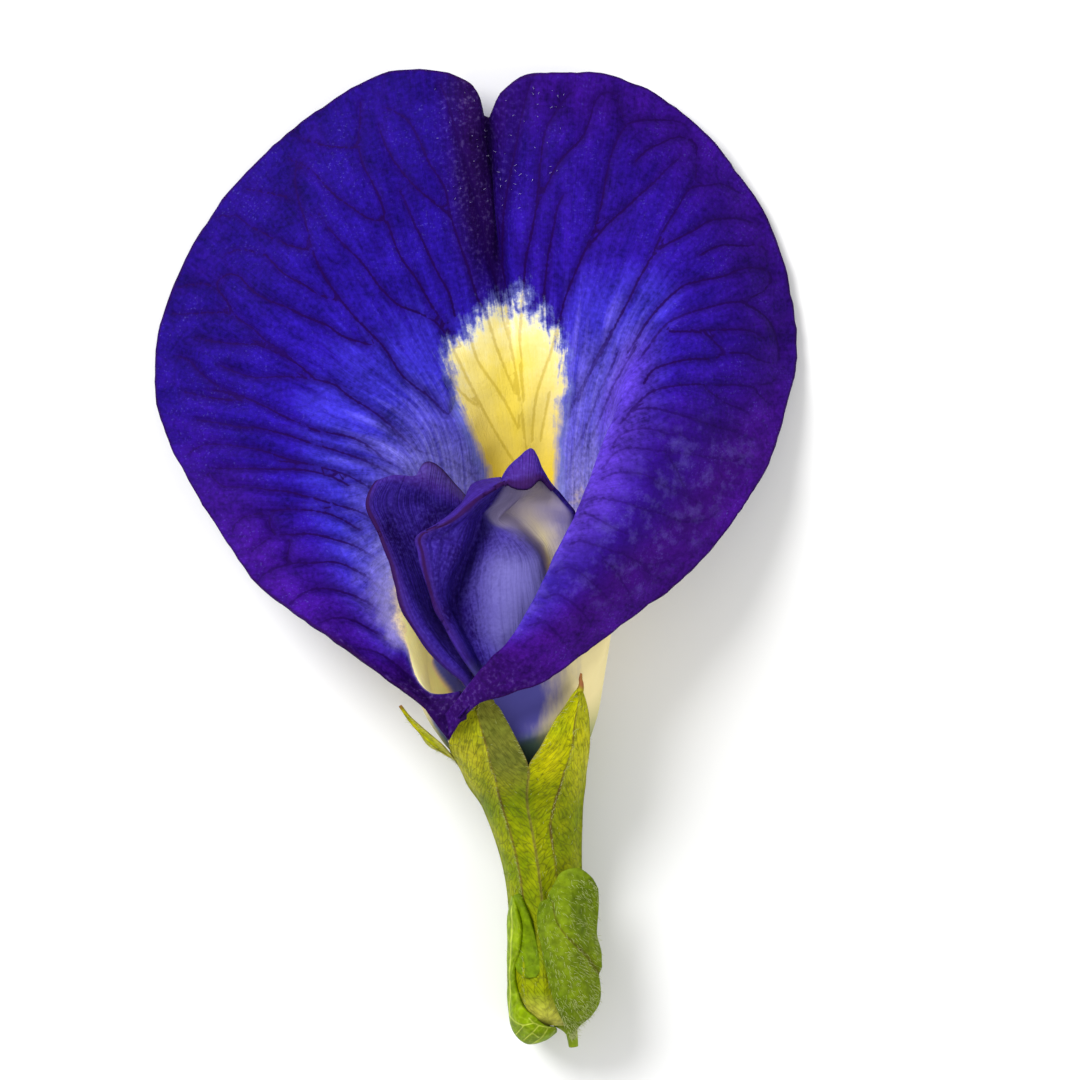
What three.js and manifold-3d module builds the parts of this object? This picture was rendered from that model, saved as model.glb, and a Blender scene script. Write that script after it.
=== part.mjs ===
// A butterfly pea flower, Clitoria ternatea, cut with a short stub of its stalk and laid on its back.
// The back of the big standard petal rests on the surface, its open face looks up (+Z), the notch
// points to +Y and the calyx to -Y. The origin is under the middle of the flower.
// Each petal is a thin blade round a smooth sheet. A net of points gives that sheet: rows run across
// the petal from its claw (t = 0) to its margin (t = 1), and s runs along a row from left to right.
// A net point is [s, x, y, z]: x and y in drawing units of the face-on view, y downwards, and z in mm.
import * as THREE from "three";
import { ParametricGeometry } from "three/addons/geometries/ParametricGeometry.js";
import { mergeGeometries, mergeVertices } from "three/addons/utils/BufferGeometryUtils.js";
import Module from "manifold-3d";

const wasm = await Module();
wasm.setup();

// Driving dimensions, in mm
const STANDARD_WIDTH = 36; // across the standard petal
const BLADE = 0.6; // thickness of petals, sepals and bracteoles
const STALK_RADIUS = 0.42; // the cut stalk
const PISTIL_GAP = 2.6; // height of the pistil's foot above the surface

// The face-on drawing: the standard petal is 641 units wide, and the frame's origin is at (476.5, 559).
const DRAWN_WIDTH = 641;
const UNIT = STANDARD_WIDTH / DRAWN_WIDTH;
const DRAWN_CENTRE = new THREE.Vector2(476.5, 559);

// Nets of the petals
const STANDARD = [
  [0.0, [[-1, 530, 868, 2.3], [0, 542, 868, 2.0], [1, 557, 868, 2.3]]],
  [0.08, [[-1, 507, 805, 2.9], [-0.5, 517, 805, 2.2], [0, 533, 805, 1.9], [0.5, 550, 805, 2.2],
    [0.8, 562, 805, 3.1], [0.9, 563, 805, 3.8], [1, 560, 805, 4.4]]],
  [0.18, [[-1, 479, 767, 5.3], [-0.75, 477, 765, 4.2], [-0.5, 485, 764, 3.0], [-0.25, 501, 764, 2.1],
    [0, 522, 764, 1.85], [0.25, 544, 764, 2.1], [0.5, 564, 763, 3.0], [0.65, 572, 762, 4.3],
    [0.8, 568, 762, 5.8], [0.9, 550, 762, 6.9], [1, 500, 764, 7.0]]],
  [0.23, [[-1, 466, 749, 6.7], [-0.8, 456, 739, 5.2], [-0.6, 462, 736, 3.6], [-0.4, 476, 735, 2.3],
    [-0.2, 494, 735, 1.3], [0, 518, 735, 1.05], [0.2, 544, 734, 1.35], [0.35, 565, 732, 2.3],
    [0.5, 582, 730, 3.9], [0.65, 583, 732, 5.8], [0.8, 566, 736, 7.3], [0.9, 535, 742, 8.0],
    [1, 480, 752, 7.6]]],
  [0.3, [[-1, 452, 744, 7.4], [-0.8, 428, 702, 5.4], [-0.6, 432, 696, 3.7], [-0.4, 449, 694, 2.2],
    [-0.2, 477, 694, 1.05], [0, 512, 694, 0.5], [0.2, 547, 690, 0.85], [0.35, 574, 684, 2.0],
    [0.5, 592, 680, 3.8], [0.65, 594, 692, 5.9], [0.8, 572, 712, 7.8], [0.9, 532, 730, 8.4],
    [1, 464, 744, 8.1]]],
  [0.4, [[-1, 450, 736, 7.6], [-0.9, 430, 694, 6.4], [-0.8, 424, 650, 5.0], [-0.6, 432, 612, 3.4],
    [-0.4, 447, 597, 2.0], [-0.2, 475, 600, 0.8], [-0.1, 495, 606, 0.25], [0, 514, 610, 0.2],
    [0.1, 538, 604, 0.25], [0.2, 562, 580, 1.1], [0.3, 585, 552, 2.2], [0.4, 604, 530, 3.4],
    [0.5, 616, 528, 4.6], [0.6, 617, 552, 5.6], [0.7, 612, 595, 6.4], [0.8, 594, 645, 7.4],
    [0.9, 548, 688, 8.3], [0.95, 505, 703, 8.5],
    [1, 456, 735, 8.6]]],
  [0.55, [[-1, 460, 697, 8.9], [-0.95, 427, 690, 7.9], [-0.9, 408, 645, 6.6], [-0.8, 396, 572, 5.4],
    [-0.7, 395, 520, 4.5], [-0.6, 404, 480, 3.7], [-0.5, 418, 452, 3.2], [-0.4, 435, 437, 2.7],
    [-0.3, 455, 440, 2.0], [-0.2, 478, 458, 1.1], [-0.1, 500, 478, 0.3], [0, 524, 490, 0.2],
    [0.1, 546, 478, 0.35], [0.2, 568, 452, 1.8], [0.3, 592, 422, 3.4], [0.4, 616, 402, 5.2],
    [0.5, 616, 416, 7.0], [0.6, 598, 462, 8.4], [0.7, 574, 522, 9.5], [0.8, 542, 588, 10.3],
    [0.88, 512, 645, 10.6], [0.95, 478, 677, 10.7], [1, 447, 713, 10.1]]],
  [0.7, [[-1, 460, 702, 9.2], [-0.95, 424, 694, 8.3], [-0.9, 398, 654, 7.3], [-0.8, 362, 598, 6.2],
    [-0.74, 345, 558, 5.6], [-0.66, 330, 500, 4.8], [-0.58, 325, 440, 4.2], [-0.5, 332, 393, 3.9],
    [-0.4, 355, 353, 3.7], [-0.3, 395, 332, 3.3], [-0.2, 438, 335, 2.5], [-0.1, 480, 352, 1.6],
    [0, 514, 368, 0.3], [0.1, 545, 358, 1.6], [0.2, 580, 332, 3.0], [0.3, 622, 312, 4.3],
    [0.4, 660, 318, 5.4], [0.5, 672, 362, 6.4], [0.6, 662, 430, 7.6], [0.7, 630, 510, 9.1],
    [0.8, 580, 592, 10.2], [0.88, 530, 650, 10.7], [0.95, 482, 683, 11.2], [1, 448, 722, 10.4]]],
  [0.85, [[-1, 455, 720, 9.1], [-0.95, 421, 697, 8.7], [-0.9, 389, 665, 8.1], [-0.82, 342, 616, 7.3],
    [-0.74, 298, 570, 6.2], [-0.66, 262, 497, 5.0], [-0.58, 240, 418, 4.0], [-0.5, 245, 352, 3.5],
    [-0.4, 275, 283, 3.6], [-0.3, 335, 228, 3.9], [-0.2, 402, 203, 3.9], [-0.1, 456, 212, 3.6],
    [-0.04, 482, 232, 2.4], [0, 497, 245, 1.0], [0.04, 510, 232, 2.4], [0.1, 540, 208, 3.7],
    [0.2, 595, 200, 4.1], [0.3, 668, 215, 4.0], [0.4, 715, 262, 3.6], [0.5, 738, 350, 4.0],
    [0.6, 716, 440, 5.2], [0.7, 676, 530, 7.0], [0.8, 615, 600, 8.8], [0.88, 550, 657, 9.9],
    [0.95, 488, 694, 11.1], [1, 449, 730, 10.4]]],
  [1.0, [[-1, 449, 740, 8.8], [-0.975, 434, 720, 9.0], [-0.95, 414, 695, 8.9], [-0.92, 382, 674, 8.7],
    [-0.88, 350, 649, 8.4], [-0.82, 320, 629, 7.9], [-0.78, 286, 605, 7.2], [-0.74, 254, 579, 6.2],
    [-0.7, 225, 538, 5.0], [-0.66, 198, 496, 3.7], [-0.62, 174, 450, 2.4], [-0.58, 158, 404, 1.4],
    [-0.54, 156, 361, 0.8], [-0.5, 163, 318, 0.5], [-0.45, 182, 268, 0.5], [-0.4, 206, 225, 0.6],
    [-0.35, 241, 180, 0.9], [-0.3, 285, 137, 1.2], [-0.25, 329, 104, 1.6], [-0.2, 373, 79, 2.0],
    [-0.15, 413, 70, 2.5], [-0.1, 448, 74, 3.0], [-0.06, 468, 83, 3.2], [-0.03, 479, 95, 3.0],
    [0, 487, 119, 2.0], [0.03, 500, 94, 3.0], [0.06, 522, 78, 3.2], [0.1, 548, 73, 3.0],
    [0.15, 577, 72, 2.6], [0.2, 610, 75, 2.0], [0.25, 653, 92, 1.5], [0.3, 703, 130, 1.0],
    [0.35, 737, 171, 0.7], [0.4, 766, 214, 0.5], [0.44, 786, 268, 0.4], [0.48, 796, 325, 0.5],
    [0.52, 796, 365, 0.8], [0.56, 788, 401, 1.4], [0.6, 772, 455, 2.4], [0.64, 757, 485, 3.2],
    [0.68, 735, 519, 4.2], [0.72, 708, 553, 5.2], [0.76, 670, 590, 6.2], [0.8, 645, 607, 6.9],
    [0.84, 607, 636, 7.8], [0.88, 568, 665, 8.8], [0.91, 545, 681, 9.6], [0.94, 508, 694, 10.6],
    [0.97, 473, 706, 10.8], [1, 450, 737, 10.3]]],
];

const WING_LEFT = [
  [0.0, [[0, 524, 868, 3.5], [1, 524, 868, 2.7]]],
  [0.13, [[0, 514, 800, 4.4], [1, 515, 800, 3.5]]],
  [0.2, [[0, 498, 772, 5.5], [1, 501, 772, 4.6]]],
  [0.28, [[0, 482, 742, 6.8], [0.5, 487, 743, 6.2], [1, 492, 745, 5.5]]],
  [0.4, [[0, 471, 691, 7.0], [0.1, 470, 688, 7.6], [0.22, 474, 687, 7.4], [0.6, 482, 690, 6.4],
    [1, 490, 696, 5.5]]],
  [0.5, [[0, 445, 662, 6.9], [0.08, 439, 660, 7.6], [0.2, 448, 654, 7.5], [0.5, 466, 656, 6.0],
    [1, 490, 670, 5.0]]],
  [0.62, [[0, 414, 619, 7.0], [0.08, 409, 617, 7.7], [0.2, 418, 612, 7.5], [0.5, 445, 618, 5.5],
    [1, 490, 640, 4.4]]],
  [0.75, [[0, 396, 567, 6.4], [0.08, 393, 566, 7.0], [0.2, 400, 563, 6.7], [0.5, 432, 568, 5.0],
    [1, 490, 592, 4.0]]],
  [0.86, [[0, 381, 527, 6.0], [0.08, 377, 527, 6.5], [0.2, 384, 524, 6.2], [0.5, 420, 528, 4.9],
    [1, 486, 552, 4.0]]],
  [0.94, [[0, 371, 504, 5.9], [0.08, 368, 504, 6.3], [0.2, 376, 500, 6.0], [0.5, 414, 503, 5.1],
    [1, 480, 526, 4.2]]],
  [1.0, [[0, 379, 483, 5.3], [0.08, 377, 483, 5.8], [0.25, 393, 478, 5.9], [0.45, 412, 481, 5.7],
    [0.65, 432, 489, 5.4], [0.85, 452, 500, 5.0], [1, 470, 511, 4.5]]],
];

const WING_RIGHT = [
  [0.0, [[0, 551, 868, 3.5], [1, 551, 868, 2.8]]],
  [0.12, [[0, 546, 800, 4.2], [1, 546, 800, 3.4]]],
  [0.18, [[0, 543, 772, 4.9], [1, 544, 772, 4.1]]],
  [0.25, [[0, 520, 742, 7.0], [0.5, 538, 742, 7.0], [1, 554, 745, 6.0]]],
  [0.34, [[0, 488, 691, 7.7], [0.1, 487, 688, 8.2], [0.35, 495, 690, 7.8], [0.5, 510, 692, 7.8],
    [0.8, 535, 694, 6.9], [1, 548, 692, 5.9]]],
  [0.44, [[0, 464, 655, 8.0], [0.1, 461, 651, 8.7], [0.22, 467, 650, 8.3], [0.35, 476, 654, 7.4],
    [0.5, 505, 655, 8.3], [0.65, 538, 650, 7.6], [0.8, 552, 648, 6.2], [1, 560, 650, 5.0]]],
  [0.54, [[0, 442, 613, 7.8], [0.1, 438, 611, 8.8], [0.22, 446, 604, 8.3], [0.35, 457, 608, 6.5],
    [0.5, 500, 612, 8.5], [0.65, 545, 610, 7.9], [0.8, 558, 603, 5.8], [1, 566, 600, 4.8]]],
  [0.64, [[0, 432, 583, 7.9], [0.1, 428, 580, 9.0], [0.22, 444, 579, 8.4], [0.35, 457, 580, 6.3],
    [0.5, 498, 583, 8.2], [0.65, 541, 581, 7.8], [0.8, 549, 571, 5.4], [1, 568, 565, 4.9]]],
  [0.74, [[0, 425, 553, 8.0], [0.1, 422, 553, 9.1], [0.22, 456, 555, 8.2], [0.35, 467, 553, 6.2],
    [0.5, 500, 556, 7.6], [0.65, 535, 556, 7.4], [0.8, 541, 546, 5.3], [1, 572, 545, 5.3]]],
  [0.82, [[0, 425, 536, 7.8], [0.1, 421, 535, 9.2], [0.22, 462, 539, 8.0], [0.35, 474, 536, 6.2],
    [0.5, 493, 534, 6.7], [0.65, 516, 536, 7.0], [0.8, 522, 524, 5.4], [1, 574, 526, 5.6]]],
  [0.89, [[0, 461, 506, 7.2], [0.1, 455, 518, 8.9], [0.22, 472, 515, 7.9], [0.35, 479, 514, 6.4],
    [0.5, 487, 515, 6.2], [0.65, 496, 520, 6.3], [0.8, 508, 508, 5.4], [1, 575, 513, 6.0]]],
  [0.95, [[0, 474, 485, 6.7], [0.1, 481, 496, 8.2], [0.22, 489, 496, 7.3], [0.35, 494, 495, 6.4],
    [0.5, 502, 494, 5.9], [0.65, 514, 493, 5.7], [0.8, 533, 490, 5.8], [1, 564, 499, 6.3]]],
  [1.0, [[0, 500, 479, 6.5], [0.1, 503, 484, 7.4], [0.22, 508, 477, 6.9], [0.35, 512, 469, 6.7],
    [0.5, 520, 460, 6.6], [0.63, 531, 450, 6.7], [0.8, 540, 469, 6.8], [1, 553, 488, 6.8]]],
];

const KEEL = [
  [0.0, [[-1, 538, 868, 4.0], [0, 542, 868, 4.05], [1, 546, 868, 4.0]]],
  [0.2, [[-1, 526, 800, 4.65], [0, 533, 800, 4.8], [1, 540, 800, 4.65]]],
  [0.28, [[-1, 517, 772, 4.5], [0, 525, 772, 5.0], [1, 533, 772, 4.5]]],
  [0.4, [[-1, 504, 740, 3.9], [-0.5, 508, 740, 4.7], [0, 521, 740, 5.1], [0.5, 534, 740, 4.7],
    [1, 538, 740, 3.9]]],
  [0.6, [[-1, 486, 690, 2.5], [-0.5, 491, 690, 3.9], [0, 520, 688, 4.8], [0.5, 549, 690, 4.0],
    [1, 554, 690, 2.6]]],
  [0.8, [[-1, 488, 640, 1.8], [-0.5, 492, 637, 3.0], [0, 523, 634, 4.2], [0.5, 555, 637, 3.2],
    [1, 559, 640, 2.0]]],
  [0.93, [[-1, 500, 605, 1.6], [-0.5, 504, 600, 2.5], [0, 526, 596, 3.4], [0.5, 548, 600, 2.7],
    [1, 552, 605, 1.7]]],
  [1.0, [[-1, 516, 590, 1.6], [-0.5, 520, 587, 1.9], [0, 528, 584, 2.2], [0.5, 536, 587, 2.0],
    [1, 540, 590, 1.7]]],
];

// The sheath that nine filaments form, open on the side of the standard petal
const SHEATH = [
  [0.0, [[-1, 539, 868, 3.25], [0, 542, 868, 3.28], [1, 545, 868, 3.25]]],
  [0.3, [[-1, 530, 800, 3.8], [0, 533, 800, 3.85], [1, 536, 800, 3.8]]],
  [0.55, [[-1, 514, 740, 3.2], [-0.5, 516, 740, 3.7], [0, 521, 740, 4.0], [0.5, 526, 740, 3.7],
    [1, 528, 740, 3.2]]],
  [1.0, [[-1, 508, 690, 2.9], [-0.5, 511, 690, 3.5], [0, 521, 690, 3.85], [0.5, 531, 690, 3.5],
    [1, 534, 690, 2.9]]],
];
const ANTHER_TIPS = { y: 640, z: 2.75, spread: 22, stagger: 9 };

// The two bracteoles under the calyx
const BRACTEOLE_RIGHT = [
  [0.0, [[-1, 563, 1033, 3.8], [0, 568, 1034, 4.0], [1, 573, 1033, 3.8]]],
  [0.12, [[-1, 560, 1012, 5.4], [-0.4, 568, 1014, 5.6], [0.3, 580, 1014, 5.3], [1, 591, 1014, 4.4]]],
  [0.3, [[-1, 549, 984, 5.6], [-0.4, 562, 988, 6.3], [0.3, 583, 992, 6.2], [1, 602, 994, 4.6]]],
  [0.5, [[-1, 542, 950, 5.7], [-0.4, 556, 955, 6.7], [0.3, 578, 962, 6.5], [1, 600, 965, 4.5]]],
  [0.7, [[-1, 537, 918, 5.7], [-0.4, 551, 925, 6.6], [0.3, 573, 932, 6.6], [1, 599, 935, 4.5]]],
  [0.84, [[-1, 540, 902, 5.7], [-0.45, 553, 905, 6.3], [0.3, 571, 905, 6.5], [1, 599, 905, 4.8]]],
  [1.0, [[-1, 549, 899, 5.7], [-0.6, 556, 890, 5.8], [-0.2, 559, 873, 5.9], [0.3, 577, 867, 6.0],
    [0.7, 591, 876, 5.6], [1, 598, 888, 5.0]]],
];

const BRACTEOLE_LEFT = [
  [0.0, [[-1, 542, 1036, 3.7], [0, 541, 1036, 2.8], [1, 541, 1035, 1.9]]],
  [0.15, [[-1, 538, 1026, 5.5], [-0.6, 533, 1036, 5.0], [-0.2, 528, 1038, 3.4], [0.4, 526, 1034, 1.4],
    [1, 534, 1028, 0.5]]],
  [0.35, [[-1, 523, 1006, 5.6], [-0.6, 514, 1012, 4.9], [-0.2, 509, 1014, 3.2], [0.4, 511, 1012, 1.2],
    [1, 524, 1008, 0.4]]],
  [0.6, [[-1, 514, 975, 5.2], [-0.6, 508, 976, 4.4], [-0.2, 505, 974, 3.0], [0.4, 508, 974, 1.3],
    [1, 521, 972, 0.4]]],
  [0.8, [[-1, 512, 940, 5.1], [-0.6, 506, 940, 4.4], [-0.2, 502, 940, 3.1], [0.4, 506, 938, 1.4],
    [1, 518, 934, 0.5]]],
  [1.0, [[-1, 505, 908, 4.7], [-0.6, 501, 903, 4.2], [-0.2, 499, 899, 3.5], [0.4, 501, 903, 2.3],
    [1, 508, 910, 1.5]]],
];

// The calyx tube: [v, x, y, z, outer radius in mm] along its middle, from its base to its mouth
const TUBE = [
  [0.0, 553, 1025, 2.9, 1.1],
  [0.04, 553, 1017, 2.9, 1.85],
  [0.15, 552, 985, 2.9, 2.05],
  [0.35, 547, 915, 2.9, 2.05],
  [0.5, 542, 864, 3.0, 2.15],
  [0.68, 534, 808, 3.6, 2.75],
  [0.77, 528, 786, 4.1, 3.3],
  [0.85, 523, 766, 4.6, 3.95],
];
const MOUTH = 0.85; // v where the sepals part
const RECEPTACLE = 0.47; // v of the tube's floor, where the petals grow

// The five sepals: the angle that each takes of the tube, from its back (-Z) towards +X, and the
// rows of its free lobe, with s from its first edge to its second
const SEPALS = [
  { from: 27, to: 87, lobe: [
    [0.92, [[-1, 530, 740, 0.3], [0, 557, 735, 0.8], [1, 588, 738, 2.4]]],
    [0.97, [[-1, 542, 716, 0.3], [0, 562, 712, 0.5], [1, 578, 716, 1.2]]],
    [1.0, [[-1, 556, 702, 0.3], [0, 563, 698, 0.4], [1, 569, 702, 0.6]]]] },
  { from: 87, to: 177, lobe: [
    [0.92, [[-1, 594, 741, 7.1], [-0.4, 582, 738, 8.0], [0.2, 564, 739, 8.8], [1, 541, 746, 9.3]]],
    [0.97, [[-1, 594, 714, 7.5], [-0.4, 587, 709, 8.1], [0.2, 574, 711, 8.8], [1, 554, 721, 9.4]]],
    [1.0, [[-1, 585, 696, 8.4], [-0.4, 583, 690, 8.5], [0.2, 579, 687, 8.8], [1, 571, 695, 9.2]]]] },
  { from: 177, to: 267, lobe: [
    [0.92, [[-1, 517, 739, 9.5], [-0.4, 500, 737, 9.5], [0.2, 476, 736, 9.1], [1, 449, 743, 7.9]]],
    [0.97, [[-1, 505, 716, 9.6], [-0.4, 493, 712, 9.7], [0.2, 478, 712, 9.6], [1, 460, 720, 9.1]]],
    [1.0, [[-1, 497, 704, 9.7], [-0.4, 490, 701, 9.75], [0.2, 482, 703, 9.75], [1, 473, 708, 9.6]]]] },
  { from: 267, to: 327, lobe: [
    [0.92, [[-1, 434, 738, 8.0], [0, 427, 742, 6.8], [1, 430, 746, 5.4]]],
    [0.97, [[-1, 412, 720, 7.8], [0, 410, 723, 7.0], [1, 413, 727, 6.2]]],
    [1.0, [[-1, 401, 704, 7.4], [0, 400, 704, 7.0], [1, 402, 706, 6.7]]]] },
  { from: 327, to: 387, lobe: [
    [0.92, [[-1, 456, 738, 1.6], [0, 482, 735, 0.7], [1, 506, 740, 0.3]]],
    [0.97, [[-1, 464, 716, 0.6], [0, 478, 712, 0.3], [1, 492, 716, 0.3]]],
    [1.0, [[-1, 468, 702, 0.4], [0, 474, 698, 0.3], [1, 480, 702, 0.3]]]] },
];

// A round rod: [x, y, z, radius in mm] along its middle
const PISTIL = [
  [542, 868, PISTIL_GAP, 0.2], [533, 800, 2.7, 0.22], [522, 750, 2.75, 0.3], [520, 715, 2.6, 0.35],
  [521, 680, 2.4, 0.28], [524, 640, 2.4, 0.2], [528, 612, 2.5, 0.18],
];
const STALK = [
  [557, 1030, 2.9, STALK_RADIUS], [562, 1034, 2.8, STALK_RADIUS], [568, 1038, 2.6, STALK_RADIUS],
  [572, 1043, 2.5, STALK_RADIUS], [574, 1048, 2.4, STALK_RADIUS],
];

// Mathematics

// A smooth curve through values at knots, at x: a Catmull-Rom spline with uneven steps
function along(knots, values, x) {
  const last = knots.length - 1;
  let i = 0;
  while (i < last - 1 && x >= knots[i + 1]) i++;
  const step = (k) => knots[k + 1] - knots[k];
  const slope = (k) => (values[k + 1] - values[k]) / step(k);
  const slopeAt = (k) => {
    if (k === 0) return slope(0);
    if (k === last) return slope(last - 1);
    const near = step(k) / (step(k - 1) + step(k));
    return slope(k - 1) * near + slope(k) * (1 - near);
  };
  const u = (x - knots[i]) / step(i);
  const h = step(i);
  return (
    (2 * u ** 3 - 3 * u ** 2 + 1) * values[i] +
    (u ** 3 - 2 * u ** 2 + u) * h * slopeAt(i) +
    (3 * u ** 2 - 2 * u ** 3) * values[i + 1] +
    (u ** 3 - u ** 2) * h * slopeAt(i + 1)
  );
}

function splinePoint(knots, points, x) {
  return points[0].map((_, axis) => along(knots, points.map((p) => p[axis]), x));
}

function toFrame([x, y, z]) {
  return new THREE.Vector3((x - DRAWN_CENTRE.x) * UNIT, (DRAWN_CENTRE.y - y) * UNIT, z);
}

// The sheet that a net describes, as a function of s and t
function sheetOf(net) {
  const rows = net.map(([, points]) => ({
    knots: points.map((p) => p[0]),
    points: points.map((p) => p.slice(1)),
  }));
  const knots = net.map(([t]) => t);
  return (s, t) => toFrame(splinePoint(knots, rows.map((r) => splinePoint(r.knots, r.points, s)), t));
}

// The sheet's unit normal, on the side that faces the viewer
function normalOf(sheet, s, t, low, high) {
  const step = 1e-3;
  const clamp = THREE.MathUtils.clamp;
  const ds = sheet(clamp(s + step, low, high), t).sub(sheet(clamp(s - step, low, high), t));
  const dt = sheet(s, clamp(t + step, 0, 1)).sub(sheet(s, clamp(t - step, 0, 1)));
  return ds.cross(dt).normalize();
}

// Geometry

// A grid surface from a function of u and v between 0 and 1, turned over if flip is true
function patch(place, columns, rows, flip) {
  const geometry = new ParametricGeometry((u, v, target) => target.copy(place(u, v)), columns, rows);
  if (flip) {
    const index = geometry.index.array;
    for (let i = 0; i < index.length; i += 3) [index[i], index[i + 1]] = [index[i + 1], index[i]];
  }
  return geometry;
}

// One closed geometry from patches whose edges meet
function sewn(patches) {
  for (const p of patches) {
    p.deleteAttribute("normal");
    p.deleteAttribute("uv");
  }
  return mergeVertices(mergeGeometries(patches), 1e-4);
}

// Two skins half a blade either side of a sheet, and the four edges between them
function bladeGeometry(skin, columns, rows) {
  return sewn([
    patch((u, v) => skin(u, v, 1), columns, rows, false),
    patch((u, v) => skin(u, v, -1), columns, rows, true),
    patch((u, v) => skin(0, v, 1 - 2 * u), 1, rows, true),
    patch((u, v) => skin(1, v, 1 - 2 * u), 1, rows, false),
    patch((u, v) => skin(u, 0, 2 * v - 1), columns, 1, false),
    patch((u, v) => skin(u, 1, 2 * v - 1), columns, 1, true),
  ]);
}

// A petal or bracteole: nothing of it reaches below the surface that the flower lies on, so the
// back of the standard petal has a small flat spot.
function blade(net, columns, rows, low, high) {
  const sheet = sheetOf(net);
  return bladeGeometry((u, v, side) => {
    const s = low + (high - low) * u;
    const point = sheet(s, v).addScaledVector(normalOf(sheet, s, v, low, high), (side * BLADE) / 2);
    point.z = Math.max(point.z, 0);
    return point;
  }, columns, rows);
}

// A rod with round sides and closed ends
function rod(points, sides, steps) {
  const knots = points.map((_, k) => k / (points.length - 1));
  const middle = (v) => toFrame(splinePoint(knots, points, v));
  const radius = (v) => along(knots, points.map((p) => p[3]), v);
  const rim = (u, v) => {
    const step = 1e-3;
    const forward = middle(Math.min(v + step, 1)).sub(middle(Math.max(v - step, 0))).normalize();
    const right = new THREE.Vector3(0, 0, 1).cross(forward).normalize();
    const up = forward.clone().cross(right);
    const angle = u * 2 * Math.PI;
    return middle(v)
      .addScaledVector(right, radius(v) * Math.cos(angle))
      .addScaledVector(up, radius(v) * Math.sin(angle));
  };
  return sewn([
    patch(rim, sides, steps, false),
    patch((u, v) => middle(0).lerp(rim(u, 0), v), sides, 1, false),
    patch((u, v) => rim(u, 1).lerp(middle(1), v), sides, 1, false),
  ]);
}

// Booleans

function solidOf(geometry) {
  return new wasm.Manifold(new wasm.Mesh({
    numProp: 3,
    vertProperties: geometry.getAttribute("position").array,
    triVerts: new Uint32Array(geometry.index.array),
  }));
}

function joined(geometries) {
  const mesh = geometries.map(solidOf).reduce((whole, piece) => whole.add(piece)).getMesh();
  const geometry = new THREE.BufferGeometry();
  geometry.setAttribute("position", new THREE.BufferAttribute(mesh.vertProperties, 3));
  geometry.setIndex(new THREE.BufferAttribute(mesh.triVerts, 1));
  return geometry;
}

// The calyx: a tube, solid below its floor, that parts into five sepals at its mouth

function tubePoint(v, degrees, inset) {
  const [x, y, z, radius] = splinePoint(TUBE.map((p) => p[0]), TUBE.map((p) => p.slice(1)), v);
  const angle = THREE.MathUtils.degToRad(degrees);
  const out = new THREE.Vector3(Math.sin(angle), 0, -Math.cos(angle));
  return toFrame([x, y, z]).addScaledVector(out, radius - inset);
}

function calyx(columns, tubeRows, lobeRows) {
  const middle = (v) => tubePoint(v, 0, 0).lerp(tubePoint(v, 180, 0), 0.5);
  const patches = SEPALS.flatMap(({ from, to, lobe }) => {
    const degrees = (u) => from + (to - from) * u;
    const ring = (v) => [v, [-1, -0.5, 0, 0.5, 1].map((s) => {
      const p = tubePoint(v, degrees((s + 1) / 2), BLADE / 2);
      return [s, p.x / UNIT + DRAWN_CENTRE.x, DRAWN_CENTRE.y - p.y / UNIT, p.z];
    })];
    const sheet = sheetOf([ring(0.77), ring(MOUTH), ...lobe]);
    const free = (u, w, side) => {
      if (w === 0) return tubePoint(MOUTH, degrees(u), side > 0 ? 0 : side < 0 ? BLADE : BLADE / 2);
      const s = 2 * u - 1;
      const v = MOUTH + (1 - MOUTH) * w;
      const point = sheet(s, v).addScaledVector(normalOf(sheet, s, v, -1, 1), (-side * BLADE) / 2);
      point.z = Math.max(point.z, 0);
      return point;
    };
    const floor = (u) => tubePoint(RECEPTACLE, degrees(u), BLADE);
    return [
      patch((u, w) => tubePoint(MOUTH * w, degrees(u), 0), columns, tubeRows, true),
      patch((u, w) => tubePoint(RECEPTACLE + (MOUTH - RECEPTACLE) * w, degrees(u), BLADE),
        columns, Math.round(tubeRows / 2), false),
      patch((u, w) => middle(0).lerp(tubePoint(0, degrees(u), 0), w), columns, 1, true),
      patch((u, w) => middle(RECEPTACLE).lerp(floor(u), w), columns, 1, false),
      patch((u, w) => free(u, w, 1), columns, lobeRows, true),
      patch((u, w) => free(u, w, -1), columns, lobeRows, false),
      patch((u, w) => free(0, w, 1 - 2 * u), 1, lobeRows, false),
      patch((u, w) => free(1, w, 1 - 2 * u), 1, lobeRows, true),
      patch((u, w) => free(u, 1, 2 * w - 1), columns, 1, false),
    ];
  });
  return sewn(patches);
}

// The stamens: nine filaments joined in a sheath, a tenth beside it, each with its anther

function stamens() {
  const sheath = blade(SHEATH, 6, 10, -1, 1);
  const across = [-1, -0.75, -0.5, -0.25, 0, 0.25, 0.5, 0.75, 1];
  const sheet = splinePoint.bind(null, SHEATH[3][1].map((p) => p[0]), SHEATH[3][1].map((p) => p.slice(1)));
  const filaments = across.map((s, k) => {
    const [x, y, z] = sheet(s);
    const tipX = 524 + s * ANTHER_TIPS.spread;
    const tipY = ANTHER_TIPS.y + (k % 2) * ANTHER_TIPS.stagger;
    const tipZ = ANTHER_TIPS.z + (z - 2.9) * 0.9;
    return rod([[x, y + 12, z, 0.1], [x, y - 10, z, 0.1], [tipX, tipY + 10, tipZ, 0.09],
      [tipX, tipY + 6, tipZ, 0.2], [tipX, tipY, tipZ, 0.2], [tipX, tipY - 5, tipZ, 0.08]], 5, 14);
  });
  return joined([sheath, ...filaments]);
}

// Materials

function finish(color, roughness) {
  return new THREE.MeshStandardMaterial({ color, roughness, metalness: 0 });
}

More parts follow.
